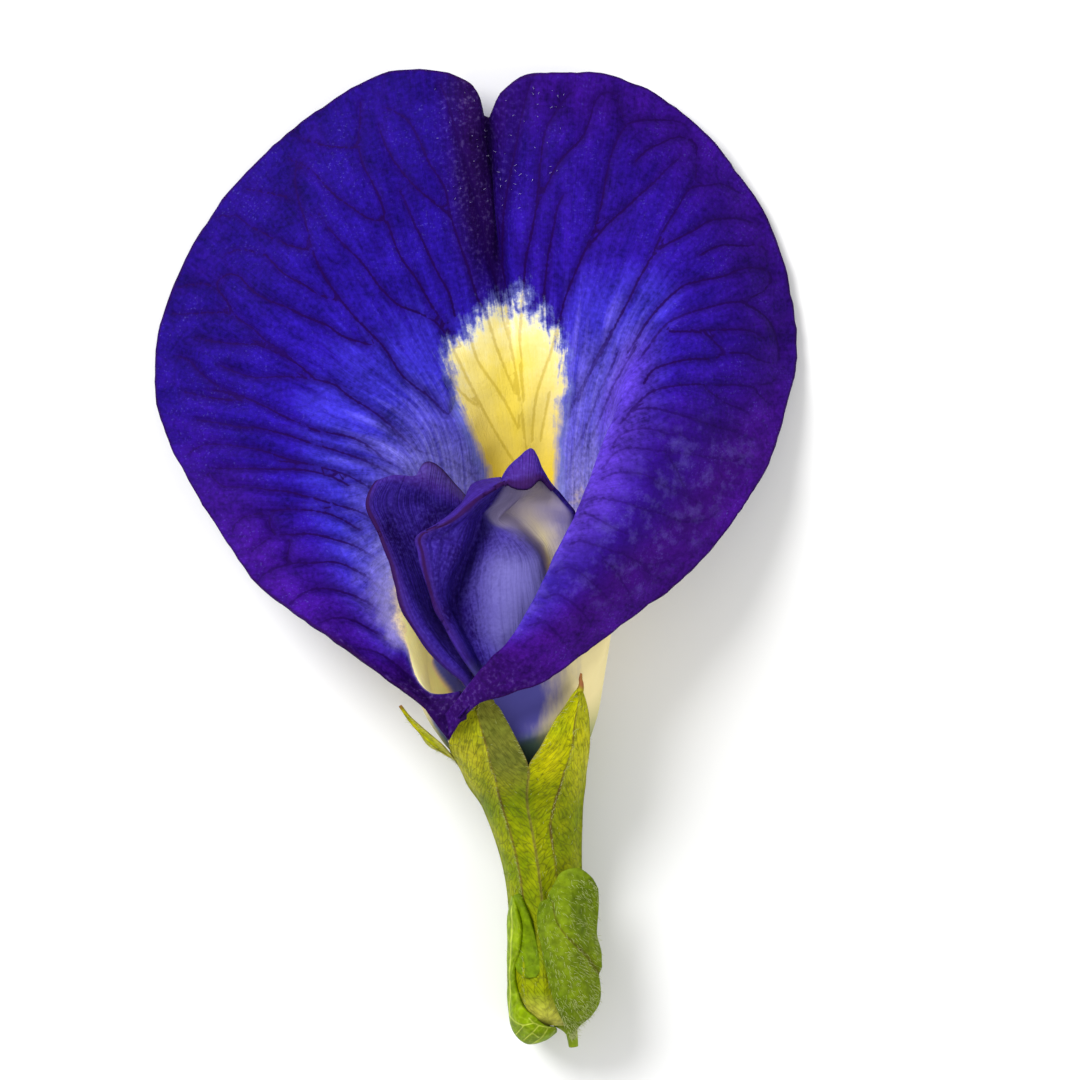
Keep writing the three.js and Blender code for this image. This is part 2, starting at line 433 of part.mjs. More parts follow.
const petalBlue = finish(0x2d17a0, 0.6);
const wingBlue = finish(0x3a2aa0, 0.55);
const keelWhite = finish(0xe9ead2, 0.6);
const stamenCream = finish(0xefe6b8, 0.7);
const pistilGreen = finish(0xa9b85a, 0.6);
const calyxGreen = finish(0x9aaf25, 0.6);
const mattGreen = finish(0x6f9a2e, 0.8);
const brightGreen = finish(0x8db010, 0.55);

// The flower

const flower = new THREE.Group();

function add(name, geometry, material) {
  const mesh = new THREE.Mesh(geometry, material);
  mesh.name = name;
  flower.add(mesh);
}

// The standard's two front corners stop just short of each other at the seam.
add("standard_petal", blade(STANDARD, 48, 26, -0.97, 0.965), petalBlue);
add("wing_left", blade(WING_LEFT, 12, 22, 0.04, 1), wingBlue);
add("wing_right", blade(WING_RIGHT, 18, 24, 0.05, 1), wingBlue);
add("keel", blade(KEEL, 8, 14, -1, 1), keelWhite);
add("stamens", stamens(), stamenCream);
add("pistil", rod(PISTIL, 8, 16), pistilGreen);
add("calyx", calyx(6, 12, 6), calyxGreen);
add("bracteole_left", blade(BRACTEOLE_LEFT, 8, 12, -1, 1), brightGreen);
add("bracteole_right", blade(BRACTEOLE_RIGHT, 8, 10, -1, 1), mattGreen);
add("pedicel", rod(STALK, 10, 10), calyxGreen);

export default flower;
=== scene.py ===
# %% [markdown]
# A butterfly pea flower, cut with a short stub of its stalk and laid on its back.
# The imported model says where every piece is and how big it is. This script keeps those places and
# gives each piece its looks: thin petals with sunk veins, a feathered yellow throat, rolled rims,
# ribbed sepals and fine hairs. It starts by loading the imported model.

# %% Load the frame
import math

import bmesh
import bpy
import numpy as np
from mathutils import Matrix, Vector, noise
from mathutils.kdtree import KDTree


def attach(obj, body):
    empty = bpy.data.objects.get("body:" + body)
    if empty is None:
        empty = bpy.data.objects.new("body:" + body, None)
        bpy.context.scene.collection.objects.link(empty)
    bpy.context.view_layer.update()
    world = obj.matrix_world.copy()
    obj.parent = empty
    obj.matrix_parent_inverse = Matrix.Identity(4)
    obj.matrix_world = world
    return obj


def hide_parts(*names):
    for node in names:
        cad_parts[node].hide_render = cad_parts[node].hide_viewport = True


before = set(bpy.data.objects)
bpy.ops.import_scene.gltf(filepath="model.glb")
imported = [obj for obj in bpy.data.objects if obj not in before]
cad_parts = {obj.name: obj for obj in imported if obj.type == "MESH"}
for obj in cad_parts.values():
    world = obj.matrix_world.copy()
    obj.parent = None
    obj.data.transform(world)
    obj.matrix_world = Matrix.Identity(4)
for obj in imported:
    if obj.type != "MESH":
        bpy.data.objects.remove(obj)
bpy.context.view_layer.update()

print("nodes in the frame:", sorted(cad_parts))

# %% [markdown]
# Every shape is drawn in the same units as the solids: x to the right and y downwards on a face-on
# drawing of the flower, and z in millimetres above the surface that it lies on. The standard petal is
# 641 drawing units across. One number turns drawing units into metres, so the whole flower has one
# scale, and it is the real one.

# %% Scale
STANDARD_WIDTH = 0.036
DRAWN_WIDTH = 641
UNIT = STANDARD_WIDTH / DRAWN_WIDTH
MM = 0.001
CENTRE_X, CENTRE_Y = 476.5, 559
DRAWING = 1080  # the drawing's width and height


def to_frame(points):
    """Drawing points [x, y, z] as metres in the flower's frame."""
    p = np.asarray(points, float)
    return np.stack([(p[..., 0] - CENTRE_X) * UNIT, (CENTRE_Y - p[..., 1]) * UNIT, p[..., 2] * MM], -1)


print("one drawing unit is %.4f mm" % (UNIT / MM))

# %% [markdown]
# The picture is taken from straight above, from so far away that heights hardly shift anything
# sideways. A long lens does the same for a flower on a light table. The floor is plain white paper.

# %% Camera and floor
CAMERA_HEIGHT = 1.5
SENSOR = 36.0
HALF_HEIGHT = 0.002  # the level that is drawn at its true size


def put(name, data):
    """An object for new data, in the scene."""
    piece = bpy.data.objects.new(name, data)
    bpy.context.scene.collection.objects.link(piece)
    return piece


camera = put("camera", bpy.data.cameras.new("camera"))
camera.data.sensor_width = SENSOR
camera.data.lens = SENSOR * (CAMERA_HEIGHT - HALF_HEIGHT) / (DRAWING * UNIT)
camera.location = ((DRAWING / 2 - CENTRE_X) * UNIT, (CENTRE_Y - DRAWING / 2) * UNIT, CAMERA_HEIGHT)
bpy.context.scene.camera = camera

floor_mesh = bpy.data.meshes.new("floor")
bm = bmesh.new()
bmesh.ops.create_grid(bm, x_segments=1, y_segments=1, size=1.5)
bm.to_mesh(floor_mesh)
bm.free()
floor = put("floor", floor_mesh)
print("lens %.0f mm" % camera.data.lens)

# %% [markdown]
# Petals show their relief only when one side of the light is stronger. A large soft lamp stands at
# the upper left, a weaker one at the right, and the rest comes evenly from the sky of the studio.

# %% Lights
bpy.context.scene.view_settings.view_transform = "Standard"


def lamp(name, place, size, watts):
    light = bpy.data.lights.new(name, "AREA")
    light.shape = "DISK"
    light.size = size
    light.energy = watts
    piece = put(name, light)
    piece.location = place
    piece.rotation_euler = (-Vector(place)).to_track_quat("-Z", "Y").to_euler()


lamp("key", (-0.45, 0.4, 0.55), 0.5, 8.0)
lamp("fill", (0.5, -0.25, 0.5), 0.5, 2.0)
world = bpy.data.worlds.new("studio")
bpy.context.scene.world = world
world.use_nodes = True
world.node_tree.nodes["Background"].inputs["Color"].default_value = (1, 1, 1, 1)
world.node_tree.nodes["Background"].inputs["Strength"].default_value = 0.7
print("lamps:", [light.name for light in bpy.data.lights])

# %% [markdown]
# A petal is a sheet. Its net holds rows of points that cross it from one edge (s = -1) to the other
# (s = 1), from its claw (t = 0) to its margin (t = 1). A spline runs through the points of each row,
# and another through the rows. The steps between points are uneven, so the spline allows for them.

# %% Sheets from nets
def spline(knots, values, x):
    """A smooth curve through values at knots, read at every x. Values may be arrays."""
    knots = np.asarray(knots, float)
    values = np.asarray(values, float)
    x = np.asarray(x, float)
    step = np.diff(knots)
    shape = (-1,) + (1,) * (values.ndim - 1)
    slope = np.diff(values, axis=0) / step.reshape(shape)
    near = (step[:-1] / (step[:-1] + step[1:])).reshape(shape)
    slopes = np.concatenate([slope[:1], slope[:-1] * near + slope[1:] * (1 - near), slope[-1:]])
    i = np.clip(np.searchsorted(knots, x, side="right") - 1, 0, len(knots) - 2)
    h = step[i].reshape(shape)
    u = ((x - knots[i]) / step[i]).reshape(shape)
    return (
        (2 * u**3 - 3 * u**2 + 1) * values[i]
        + (u**3 - 2 * u**2 + u) * h * slopes[i]
        + (3 * u**2 - 2 * u**3) * values[i + 1]
        + (u**3 - u**2) * h * slopes[i + 1]
    )


def sheet(net, s, t):
    """Drawing points of a net's sheet: one row for each t, one column for each s."""
    rows = [spline([p[0] for p in points], [p[1:] for p in points], s) for _, points in net]
    return spline([row[0] for row in net], rows, t)


def blend(low, high, x):
    """0 below low, 1 above high, and smooth between them."""
    u = np.clip((x - low) / (high - low), 0, 1)
    return u * u * (3 - 2 * u)


# %% [markdown]
# Blender makes the grid, and the sheet moves its vertices. What the finishes need to know about each
# place, such as how far it is from the margin, goes onto the mesh as named attributes, because a
# pattern that is kept on the surface stays there from every side.

# %% Grids
def grid_piece(name, columns, rows, points, s, t, facts):
    """A mesh grid moved to points (rows x columns, in drawing units), with a UV map of s and t."""
    bm = bmesh.new()
    bmesh.ops.create_grid(bm, x_segments=columns, y_segments=rows, size=0.5)
    mesh = bpy.data.meshes.new(name)
    bm.to_mesh(mesh)
    bm.free()
    flat = np.zeros(len(mesh.vertices) * 3, np.float32)
    mesh.vertices.foreach_get("co", flat)
    flat = flat.reshape(-1, 3)
    i = np.rint((flat[:, 0] + 0.5) * columns).astype(int)
    j = np.rint((flat[:, 1] + 0.5) * rows).astype(int)
    mesh.vertices.foreach_set("co", to_frame(points)[j, i].astype(np.float32).ravel())
    corner = np.zeros(len(mesh.loops), np.int32)
    mesh.loops.foreach_get("vertex_index", corner)
    uv = np.stack([s[i], t[j]], -1)[corner]
    mesh.uv_layers.new(name="petal").data.foreach_set("uv", uv.astype(np.float32).ravel())
    for fact, values in facts.items():
        kind, key = ("FLOAT_VECTOR", "vector") if values.ndim == 3 else ("FLOAT", "value")
        layer = mesh.attributes.new(fact, kind, "POINT")
        layer.data.foreach_set(key, values[j, i].astype(np.float32).ravel())
    mesh.shade_smooth()
    mesh.update()
    piece = put(name, mesh)
    if "thin" in facts:
        group = piece.vertex_groups.new(name="thin")
        for k, weight in enumerate(facts["thin"][j, i]):
            group.add([k], weight, "REPLACE")
    return piece


def normals(points):
    """Unit normals of a sheet's points, in the frame's axes, on the side of the viewer."""
    p = to_frame(points)
    across = np.gradient(p, axis=1)
    along = np.gradient(p, axis=0)
    n = np.cross(across, along)
    return n / np.maximum(np.linalg.norm(n, axis=-1, keepdims=True), 1e-12)


def raised(points, height):
    """The sheet's points moved along its normals by a height in mm."""
    n = normals(points) * height[..., None] * MM
    return points + np.stack([n[..., 0] / UNIT, -n[..., 1] / UNIT, n[..., 2] / MM], -1)


def thicken(piece, thickness, offset, back=0, rim=0):
    """A sheet becomes a closed blade, with materials of its own on its back and rim."""
    solid = piece.modifiers.new("blade", "SOLIDIFY")
    solid.thickness = thickness * MM
    solid.offset = offset
    solid.material_offset = back
    solid.material_offset_rim = rim
    if "thin" in piece.vertex_groups:
        solid.vertex_group = "thin"


# %% [markdown]
# The standard is the flower's big petal. Its two halves lie almost flat beside a deep notch. Lower
# down it is rolled into a tube, whose margins meet at the front, and the right side folds forward
# over the throat. The solid was made from nearly the same net.

# %% Standard petal: its net
STANDARD = [
    (0.0, [(-1, 530, 868, 2.3), (0, 542, 868, 2.0), (1, 557, 868, 2.3)]),
    (0.08, [(-1, 507, 805, 2.9), (-0.5, 517, 805, 2.2), (0, 533, 805, 1.9), (0.5, 550, 805, 2.2),
            (0.8, 562, 805, 3.1), (0.9, 563, 805, 3.8), (1, 560, 805, 4.4)]),
    (0.18, [(-1, 479, 767, 5.3), (-0.75, 470, 766, 4.2), (-0.5, 480, 764, 3.0), (-0.25, 501, 764, 2.1),
            (0, 522, 764, 1.85), (0.25, 544, 764, 2.1), (0.5, 568, 763, 3.0), (0.65, 577, 762, 4.3),
            (0.8, 568, 762, 5.8), (0.9, 550, 762, 6.9), (1, 500, 764, 7.0)]),
    (0.23, [(-1, 464, 749, 6.7), (-0.8, 445, 741, 5.2), (-0.6, 452, 737, 3.6), (-0.4, 472, 735, 2.3),
            (-0.2, 494, 735, 1.3), (0, 518, 735, 1.05), (0.2, 544, 734, 1.35), (0.35, 565, 732, 2.3),
            (0.5, 587, 730, 3.9), (0.65, 589, 732, 5.8), (0.8, 570, 736, 7.3), (0.9, 535, 742, 8.0),
            (1, 486, 754, 6.6)]),
    (0.3, [(-1, 454, 744, 7.0), (-0.8, 423, 702, 5.4), (-0.6, 428, 696, 3.7), (-0.4, 447, 694, 2.2),
           (-0.2, 477, 694, 1.05), (0, 512, 694, 0.5), (0.2, 547, 690, 0.85), (0.35, 574, 684, 2.0),
           (0.5, 596, 680, 3.8), (0.65, 599, 692, 5.9), (0.8, 574, 712, 7.8), (0.9, 532, 730, 8.4),
           (1, 476, 744, 7.3)]),
    (0.4, [(-1, 450, 736, 7.6), (-0.9, 430, 694, 6.4), (-0.8, 424, 650, 5.0), (-0.6, 432, 612, 3.4),
           (-0.4, 447, 597, 2.0), (-0.2, 475, 600, 0.8), (-0.1, 495, 606, 0.25), (0, 514, 610, 0.2),
           (0.1, 538, 604, 0.25), (0.2, 562, 580, 1.1), (0.3, 585, 552, 2.2), (0.4, 604, 530, 3.4),
           (0.5, 616, 528, 4.6), (0.6, 617, 552, 5.6), (0.7, 612, 595, 6.4), (0.8, 598, 645, 7.4),
           (0.9, 548, 688, 8.3), (0.95, 505, 703, 8.5), (1, 462, 728, 8.2)]),
    (0.55, [(-1, 460, 697, 8.9), (-0.95, 427, 690, 7.9), (-0.9, 408, 645, 6.6), (-0.8, 396, 572, 5.4),
            (-0.7, 395, 520, 4.5), (-0.6, 404, 480, 3.7), (-0.5, 418, 452, 3.2), (-0.4, 435, 437, 2.7),
            (-0.3, 455, 440, 2.0), (-0.2, 478, 458, 1.1), (-0.1, 500, 478, 0.3), (0, 524, 490, 0.2),
            (0.1, 546, 478, 0.35), (0.2, 568, 452, 1.8), (0.3, 592, 422, 3.4), (0.4, 616, 402, 5.2),
            (0.5, 616, 416, 7.0), (0.6, 598, 462, 8.4), (0.7, 574, 522, 9.5), (0.8, 542, 588, 10.3),
            (0.88, 512, 645, 10.6), (0.95, 478, 677, 10.7), (1, 447, 713, 10.1)]),
    (0.7, [(-1, 460, 702, 9.2), (-0.95, 424, 694, 8.3), (-0.9, 398, 654, 7.3), (-0.8, 362, 598, 6.2),
           (-0.74, 345, 558, 5.6), (-0.66, 330, 500, 4.8), (-0.58, 325, 440, 4.2), (-0.5, 332, 393, 3.9),
           (-0.4, 355, 353, 3.7), (-0.3, 395, 332, 3.3), (-0.2, 438, 335, 2.5), (-0.1, 480, 352, 1.6),
           (0, 514, 368, 1.1), (0.1, 545, 358, 1.7), (0.2, 580, 332, 3.0), (0.3, 622, 312, 4.3),
           (0.4, 660, 318, 5.4), (0.5, 672, 362, 6.4), (0.6, 662, 430, 7.6), (0.7, 630, 510, 9.1),
           (0.8, 580, 592, 10.2), (0.88, 530, 650, 10.7), (0.95, 482, 683, 11.2), (1, 448, 722, 10.4)]),
    (0.85, [(-1, 455, 720, 9.1), (-0.95, 421, 697, 8.7), (-0.9, 389, 665, 8.1), (-0.82, 342, 616, 7.3),
            (-0.74, 298, 570, 6.2), (-0.66, 262, 497, 5.0), (-0.58, 240, 418, 4.0), (-0.5, 245, 352, 3.5),
            (-0.4, 275, 283, 3.6), (-0.3, 335, 228, 3.9), (-0.2, 402, 203, 3.9), (-0.1, 456, 212, 3.6),
            (-0.04, 482, 232, 2.4), (0, 497, 245, 1.4), (0.04, 510, 232, 2.4), (0.1, 540, 208, 3.7),
            (0.2, 595, 200, 4.1), (0.3, 668, 215, 4.0), (0.4, 715, 262, 3.6), (0.5, 738, 350, 4.0),
            (0.6, 716, 440, 5.2), (0.7, 676, 530, 7.0), (0.8, 615, 600, 8.8), (0.88, 550, 657, 9.9),
            (0.95, 488, 694, 11.1), (1, 449, 730, 10.4)]),
    (1.0, [(-1, 449, 740, 8.8), (-0.975, 434, 720, 9.0), (-0.95, 414, 695, 8.9), (-0.92, 382, 674, 8.7),
           (-0.88, 350, 649, 8.4), (-0.82, 320, 629, 7.9), (-0.78, 286, 605, 7.2), (-0.74, 254, 579, 6.2),
           (-0.7, 225, 538, 5.0), (-0.66, 198, 496, 3.7), (-0.62, 174, 450, 2.4), (-0.58, 158, 404, 1.4),
           (-0.54, 156, 361, 0.8), (-0.5, 163, 318, 0.5), (-0.45, 182, 268, 0.5), (-0.4, 206, 225, 0.6),
           (-0.35, 241, 180, 0.9), (-0.3, 285, 137, 1.2), (-0.25, 329, 104, 1.6), (-0.2, 373, 79, 2.0),
           (-0.15, 413, 70, 2.5), (-0.1, 448, 74, 3.0), (-0.06, 468, 83, 3.2), (-0.03, 479, 95, 3.0),
           (0, 487, 119, 2.0), (0.03, 500, 94, 3.0), (0.06, 522, 78, 3.2), (0.1, 548, 73, 3.0),
           (0.15, 577, 72, 2.6), (0.2, 610, 75, 2.0), (0.25, 653, 92, 1.5), (0.3, 703, 130, 1.0),
           (0.35, 737, 171, 0.7), (0.4, 766, 214, 0.5), (0.44, 786, 268, 0.4), (0.48, 796, 325, 0.5),
           (0.52, 796, 365, 0.8), (0.56, 788, 401, 1.4), (0.6, 772, 455, 2.4), (0.64, 757, 485, 3.2),
           (0.68, 735, 519, 4.2), (0.72, 708, 553, 5.2), (0.76, 670, 590, 6.2), (0.8, 645, 607, 6.9),
           (0.84, 607, 636, 7.8), (0.88, 568, 665, 8.8), (0.91, 545, 681, 9.6), (0.94, 508, 694, 10.6),
           (0.97, 473, 706, 10.8), (1, 450, 737, 10.3)]),
]
print("rows in the standard's net:", len(STANDARD))

# %% [markdown]
# The veins of the standard run out from the throat, fork, and join again in loops just short of the
# margin. They are drawn as lines on the face-on drawing. Each half has its own list, and the part of
# the right half that folds forward has a third one, because the sheet passes under itself there.

# %% Standard petal: its veins
LEFT_VEINS = [
    [(522, 434), (517, 424), (507, 405), (495, 386), (478, 362), (469, 336)],
    [(519, 390), (510, 345), (502, 318), (496, 290), (485, 252), (476, 203), (466, 167), (456, 134),
     (447, 100), (440, 84)],
    [(516, 394), (505, 369), (495, 345), (486, 316), (476, 297), (465, 261), (451, 217), (444, 187),
     (429, 163), (418, 138), (407, 120), (386, 108)],
    [(514, 462), (495, 432), (480, 405), (464, 374), (452, 348)],
    [(481, 407), (471, 402), (459, 391)],
    [(451, 217), (437, 205), (418, 190), (402, 172), (387, 149), (379, 126)],
    [(460, 345), (434, 310), (416, 279), (400, 256), (387, 221), (378, 194), (364, 167), (359, 147),
     (360, 127), (361, 102)],
    [(455, 318), (449, 294), (437, 272), (424, 244), (411, 216), (400, 190)],
    [(384, 221), (369, 219), (351, 207), (333, 194), (317, 176), (302, 164), (290, 160)],
    [(359, 148), (346, 148), (326, 146), (309, 141), (296, 137)],
    [(450, 340), (434, 321), (416, 312), (398, 305), (382, 290), (362, 263), (344, 245), (326, 225),
     (318, 212)],
    [(455, 400), (447, 414), (430, 397), (403, 376), (387, 352), (371, 334), (358, 321), (340, 299),
     (322, 272), (313, 250), (306, 221), (300, 203), (296, 181), (299, 163)],
    [(340, 301), (320, 295), (304, 285), (284, 274), (266, 256), (255, 252), (239, 250), (224, 255)],
    [(310, 251), (293, 247), (275, 239), (257, 230), (244, 221), (235, 216), (217, 218)],
    [(296, 201), (280, 196), (262, 192), (246, 190)],
    [(371, 345), (344, 337), (328, 326), (306, 317), (288, 308), (270, 301), (257, 294), (248, 285),
     (241, 277), (230, 275), (219, 281), (218, 288), (228, 301), (237, 317), (253, 328), (266, 341),
     (284, 352), (300, 366)],
    [(237, 316), (224, 313), (206, 313), (188, 314), (173, 314)],
    [(217, 287), (204, 284), (190, 285), (177, 288)],
    [(470, 474), (445, 459), (417, 450), (392, 427), (371, 410), (350, 397), (335, 385), (316, 380),
     (297, 377), (276, 377), (255, 378), (238, 373), (222, 366)],
    [(316, 380), (300, 366), (280, 354), (258, 345), (238, 344), (216, 342), (196, 338)],
    [(440, 478), (415, 471), (392, 465), (371, 448), (350, 437), (318, 431), (287, 418), (268, 408),
     (249, 399), (230, 391), (213, 383), (200, 372), (192, 362), (180, 356)],
    [(392, 475), (365, 461), (340, 452), (314, 444), (287, 435), (264, 429), (238, 427), (213, 422),
     (196, 420)],
    [(249, 399), (230, 400), (208, 397), (184, 392)],
    [(388, 500), (360, 482), (340, 473), (310, 465), (285, 458), (260, 450), (238, 446), (220, 444),
     (201, 446), (190, 453)],
    [(350, 486), (329, 476), (302, 470), (276, 469), (255, 469), (234, 469), (215, 470), (206, 476)],
    [(386, 528), (360, 512), (335, 505), (310, 498), (289, 492), (268, 490), (251, 486), (234, 487),
     (222, 486), (214, 477)],
    [(360, 530), (340, 518), (314, 511), (289, 509), (268, 513), (247, 517), (236, 524), (233, 533)],
    [(380, 560), (355, 546), (329, 538), (310, 534), (293, 535), (276, 536), (264, 543), (252, 552)],
    [(276, 536), (271, 527), (270, 514)],
    [(385, 590), (360, 572), (335, 562), (314, 563), (297, 563), (284, 566), (268, 572), (258, 582)],
    [(286, 565), (288, 556), (290, 546)],
    [(390, 620), (365, 600), (340, 590), (318, 588), (303, 594), (290, 604)],
    [(402, 650), (380, 634), (358, 622), (338, 618), (322, 622)],
    [(415, 680), (396, 664), (376, 652), (358, 648)],
]
RIGHT_VEINS = [
    [(526, 450), (523, 422), (518, 386), (512, 350), (506, 309), (502, 287)],
    [(524, 400), (522, 369), (521, 338), (522, 314), (523, 290)],
    [(532, 440), (534, 417), (537, 398), (544, 374), (553, 348), (560, 319)],
    [(541, 440), (547, 412), (552, 390)],
    [(508, 322), (501, 287), (497, 228), (493, 186), (489, 150), (487, 122)],
    [(509, 322), (505, 271), (505, 228), (507, 195), (514, 161), (519, 132), (525, 102), (531, 81)],
    [(523, 300), (526, 262), (531, 241), (535, 220), (539, 186), (542, 157), (546, 130), (560, 106),
     (571, 92)],
    [(543, 318), (547, 262), (554, 228), (558, 207), (564, 195)],
    [(535, 210), (547, 186), (558, 165), (568, 153), (581, 140), (590, 119), (595, 102), (603, 93),
     (618, 94)],
    [(556, 345), (566, 298), (577, 270), (587, 247), (598, 220), (604, 190), (610, 159), (619, 136),
     (625, 125), (619, 108), (616, 92)],
    [(625, 125), (640, 121), (659, 120), (676, 121), (687, 126)],
    [(590, 246), (606, 226), (623, 211), (640, 195), (657, 180), (667, 169), (680, 158)],
    [(634, 163), (648, 150), (661, 144), (674, 138), (686, 138), (696, 145), (696, 159), (695, 178),
     (690, 189)],
    [(580, 400), (593, 370), (606, 344), (623, 312), (638, 281), (653, 254), (665, 228), (678, 207),
     (690, 189), (707, 186), (724, 185), (742, 195)],
    [(653, 256), (663, 247), (678, 239), (695, 230), (707, 222), (722, 219), (741, 219), (760, 225)],
    [(699, 256), (712, 249), (724, 245), (743, 246), (760, 245), (768, 252)],
    [(627, 355), (640, 334), (655, 313), (665, 302), (682, 287), (701, 281), (722, 277), (739, 270),
     (754, 268), (767, 271), (772, 278), (766, 288), (754, 296), (741, 302), (728, 303), (707, 308),
     (690, 313), (669, 323), (653, 340), (641, 357)],
    [(741, 303), (754, 310), (768, 321), (777, 340), (780, 358)],
    [(669, 332), (686, 332), (703, 334), (714, 343), (725, 353)],
    [(690, 331), (709, 331), (728, 330), (750, 332), (763, 339)],
    [(612, 330), (598, 356), (588, 379), (575, 404), (566, 428), (560, 448)],
    [(618, 353), (606, 380), (594, 410), (588, 428), (577, 452), (569, 480)],
    [(636, 346), (622, 372), (608, 402), (596, 432), (584, 462), (575, 490)],
]
FLAP_VEINS = [
    [(644, 384), (652, 371), (667, 365), (690, 360), (713, 359), (725, 354), (744, 354), (757, 360),
     (774, 363), (780, 358)],
    [(627, 415), (646, 396), (658, 390), (675, 387), (693, 385), (713, 386), (734, 385), (751, 387),
     (764, 384), (777, 379)],
    [(751, 387), (759, 396), (770, 405)],
    [(707, 391), (725, 403), (741, 410), (750, 416)],
    [(620, 424), (634, 411), (646, 409), (660, 410), (673, 414), (690, 419), (705, 424), (721, 429),
     (738, 433), (752, 440)],
    [(610, 452), (617, 439), (626, 433), (640, 429), (652, 430), (667, 434), (680, 436), (690, 442)],
    [(602, 470), (614, 454), (626, 449), (640, 449), (655, 451), (670, 452), (690, 455), (705, 457),
     (722, 460), (733, 461), (745, 457)],
    [(664, 452), (670, 463), (676, 472), (682, 485), (688, 492)],
    [(600, 480), (612, 474), (623, 473), (637, 474), (647, 477), (655, 483), (667, 489), (682, 495),
     (700, 504)],
    [(580, 506), (588, 500), (600, 499), (614, 501), (627, 504), (641, 509), (658, 513), (670, 518),
     (682, 522), (698, 521), (710, 518), (717, 511)],
    [(574, 520), (584, 514), (597, 519), (612, 528), (626, 534)],
    [(570, 545), (580, 541), (591, 544), (606, 549), (624, 555), (640, 563), (655, 564), (668, 561)],
    [(556, 572), (568, 567), (580, 573), (588, 579), (597, 587), (606, 597), (615, 606)],
    [(604, 561), (614, 570), (622, 582), (628, 592), (634, 608)],
    [(545, 598), (556, 594), (568, 600), (580, 610), (590, 622)],
    [(530, 625), (541, 622), (552, 628), (562, 640), (570, 650)],
    [(640, 563), (650, 574), (662, 580)],
]


def traced(lines, step=0.5):
    """Points every half unit along smooth curves through each line: places, directions, distance run."""
    places, ways, runs = [], [], []
    for line in lines:
        p = np.array(line, float)
        knots = np.concatenate([[0], np.cumsum(np.hypot(*np.diff(p, axis=0).T))])
        run = np.arange(0, knots[-1], step)
        q = spline(knots, p, run)
        way = np.gradient(q, axis=0)
        places.append(q)
        ways.append(way / np.hypot(*way.T)[:, None])
        runs.append(run / knots[-1])
    return np.concatenate(places), np.concatenate(ways), np.concatenate(runs)


def nearest(lines, points):
    """For drawing points (n x 2): the way to the nearest line, square to it, and how far along it."""
    places, ways, runs = traced(lines)
    tree = KDTree(len(places))
    for k, (x, y) in enumerate(places):
        tree.insert((x, y, 0), k)
    tree.balance()
    found = np.array([tree.find((x, y, 0))[1] for x, y in points])
    gap = points - places[found]
    way = ways[found]
    inside = (runs[found] > 0.01) & (runs[found] < 0.985)  # past its ends it isn't made square
    along = (gap * way).sum(1, keepdims=True) * way
    return np.where(inside[:, None], gap - along, gap), runs[found]


print("vein lines:", len(LEFT_VEINS) + len(RIGHT_VEINS) + len(FLAP_VEINS))

# %% [markdown]
# A finish is a network of nodes. One helper adds a node, sets it up, links it and gives back its
# output, so each line of a finish reads as one step. Colours are hex values, as on a colour chart, and
# another helper turns them linear. A finish first works out its masks, then lays its colours over each
# other in a loop, each as far as its mask lets it.

# %% Finishes: helpers
def colour(hexed):
    """An sRGB hex value as a linear colour."""
    parts = [int(hexed[k:k + 2], 16) / 255 for k in (0, 2, 4)]
    return [c / 12.92 if c <= 0.04045 else ((c + 0.055) / 1.055) ** 2.4 for c in parts] + [1]


def add(tree, kind, inputs, out=0, stops=(), **settings):
    """An output of a new node. Each input gets a link, a value or a hex colour, and a ramp its stops."""
    node = tree.nodes.new("ShaderNode" + kind)
    for name, value in settings.items():
        setattr(node, name, value)
    for socket, value in inputs.items():
        if isinstance(value, bpy.types.NodeSocket):
            tree.links.new(value, node.inputs[socket])
        else:
            node.inputs[socket].default_value = colour(value) if isinstance(value, str) else value
    for k, (position, hexed) in enumerate(stops):
        elements = node.color_ramp.elements
        stop = elements[0] if k == 0 else elements[-1] if k == len(stops) - 1 else elements.new(position)
        stop.position = position
        stop.color = colour(hexed)
    return node.outputs[out]


def finish(name):
    """An empty material and its node tree."""
    material = bpy.data.materials.new(name)
    material.use_nodes = True
    tree = material.node_tree
    tree.nodes.clear()
    return material, tree


def surface(tree, **sockets):
    """The shader at the end of a finish."""
    shader = add(tree, "BsdfPrincipled", {name.replace("_", " "): v for name, v in sockets.items()})
    end = tree.nodes.new("ShaderNodeOutputMaterial")
    tree.links.new(shader, end.inputs["Surface"])


print("blue 221086 in linear light:", [round(c, 3) for c in colour("221086")])

# %% [markdown]
# The face of the standard is blue velvet. Patterns that follow the petal, such as its fibres, are
# stretched over its own UV map, and the others lie on Object coordinates, in metres. A vein's
# attribute is the way to the nearest vein, so its length in the shader is a sharp distance even on a
# coarse grid. A petal's skin is velvety, so its gloss is far below that of a polished surface.

# %% Finish: standard petal, patterns
FIBRES = (420, 14, 1)  # across each half and along the petal: about 0.13 mm by 3 mm
STREAKS = (60, 9, 1)  # broader streaks: about 0.9 mm by 5 mm
CLOUDS = 0.45 / MM  # soft clouds of colour: 2.2 mm
SPECKS = 4.2 / MM  # specks: 0.24 mm
SKIN_GLOSS = 0.02  # specular level of petals: velvety cells scatter nearly all light
velvet, tree = finish("petal_epidermis_blue_velvet")
where = add(tree, "TexCoord", {}, out="Object")
uv = add(tree, "UVMap", {}, uv_map="petal")
place = add(tree, "SeparateXYZ", {0: uv}).node.outputs
vein = add(tree, "Attribute", {}, out="Vector", attribute_name="vein")
away = add(tree, "VectorMath", {0: vein}, out="Value", operation="LENGTH")
facts = ("weight", "patch", "rim", "purple", "fold_shade", "reach", "slate", "ridge_highlight", "crinkle_highlight", "furrow")
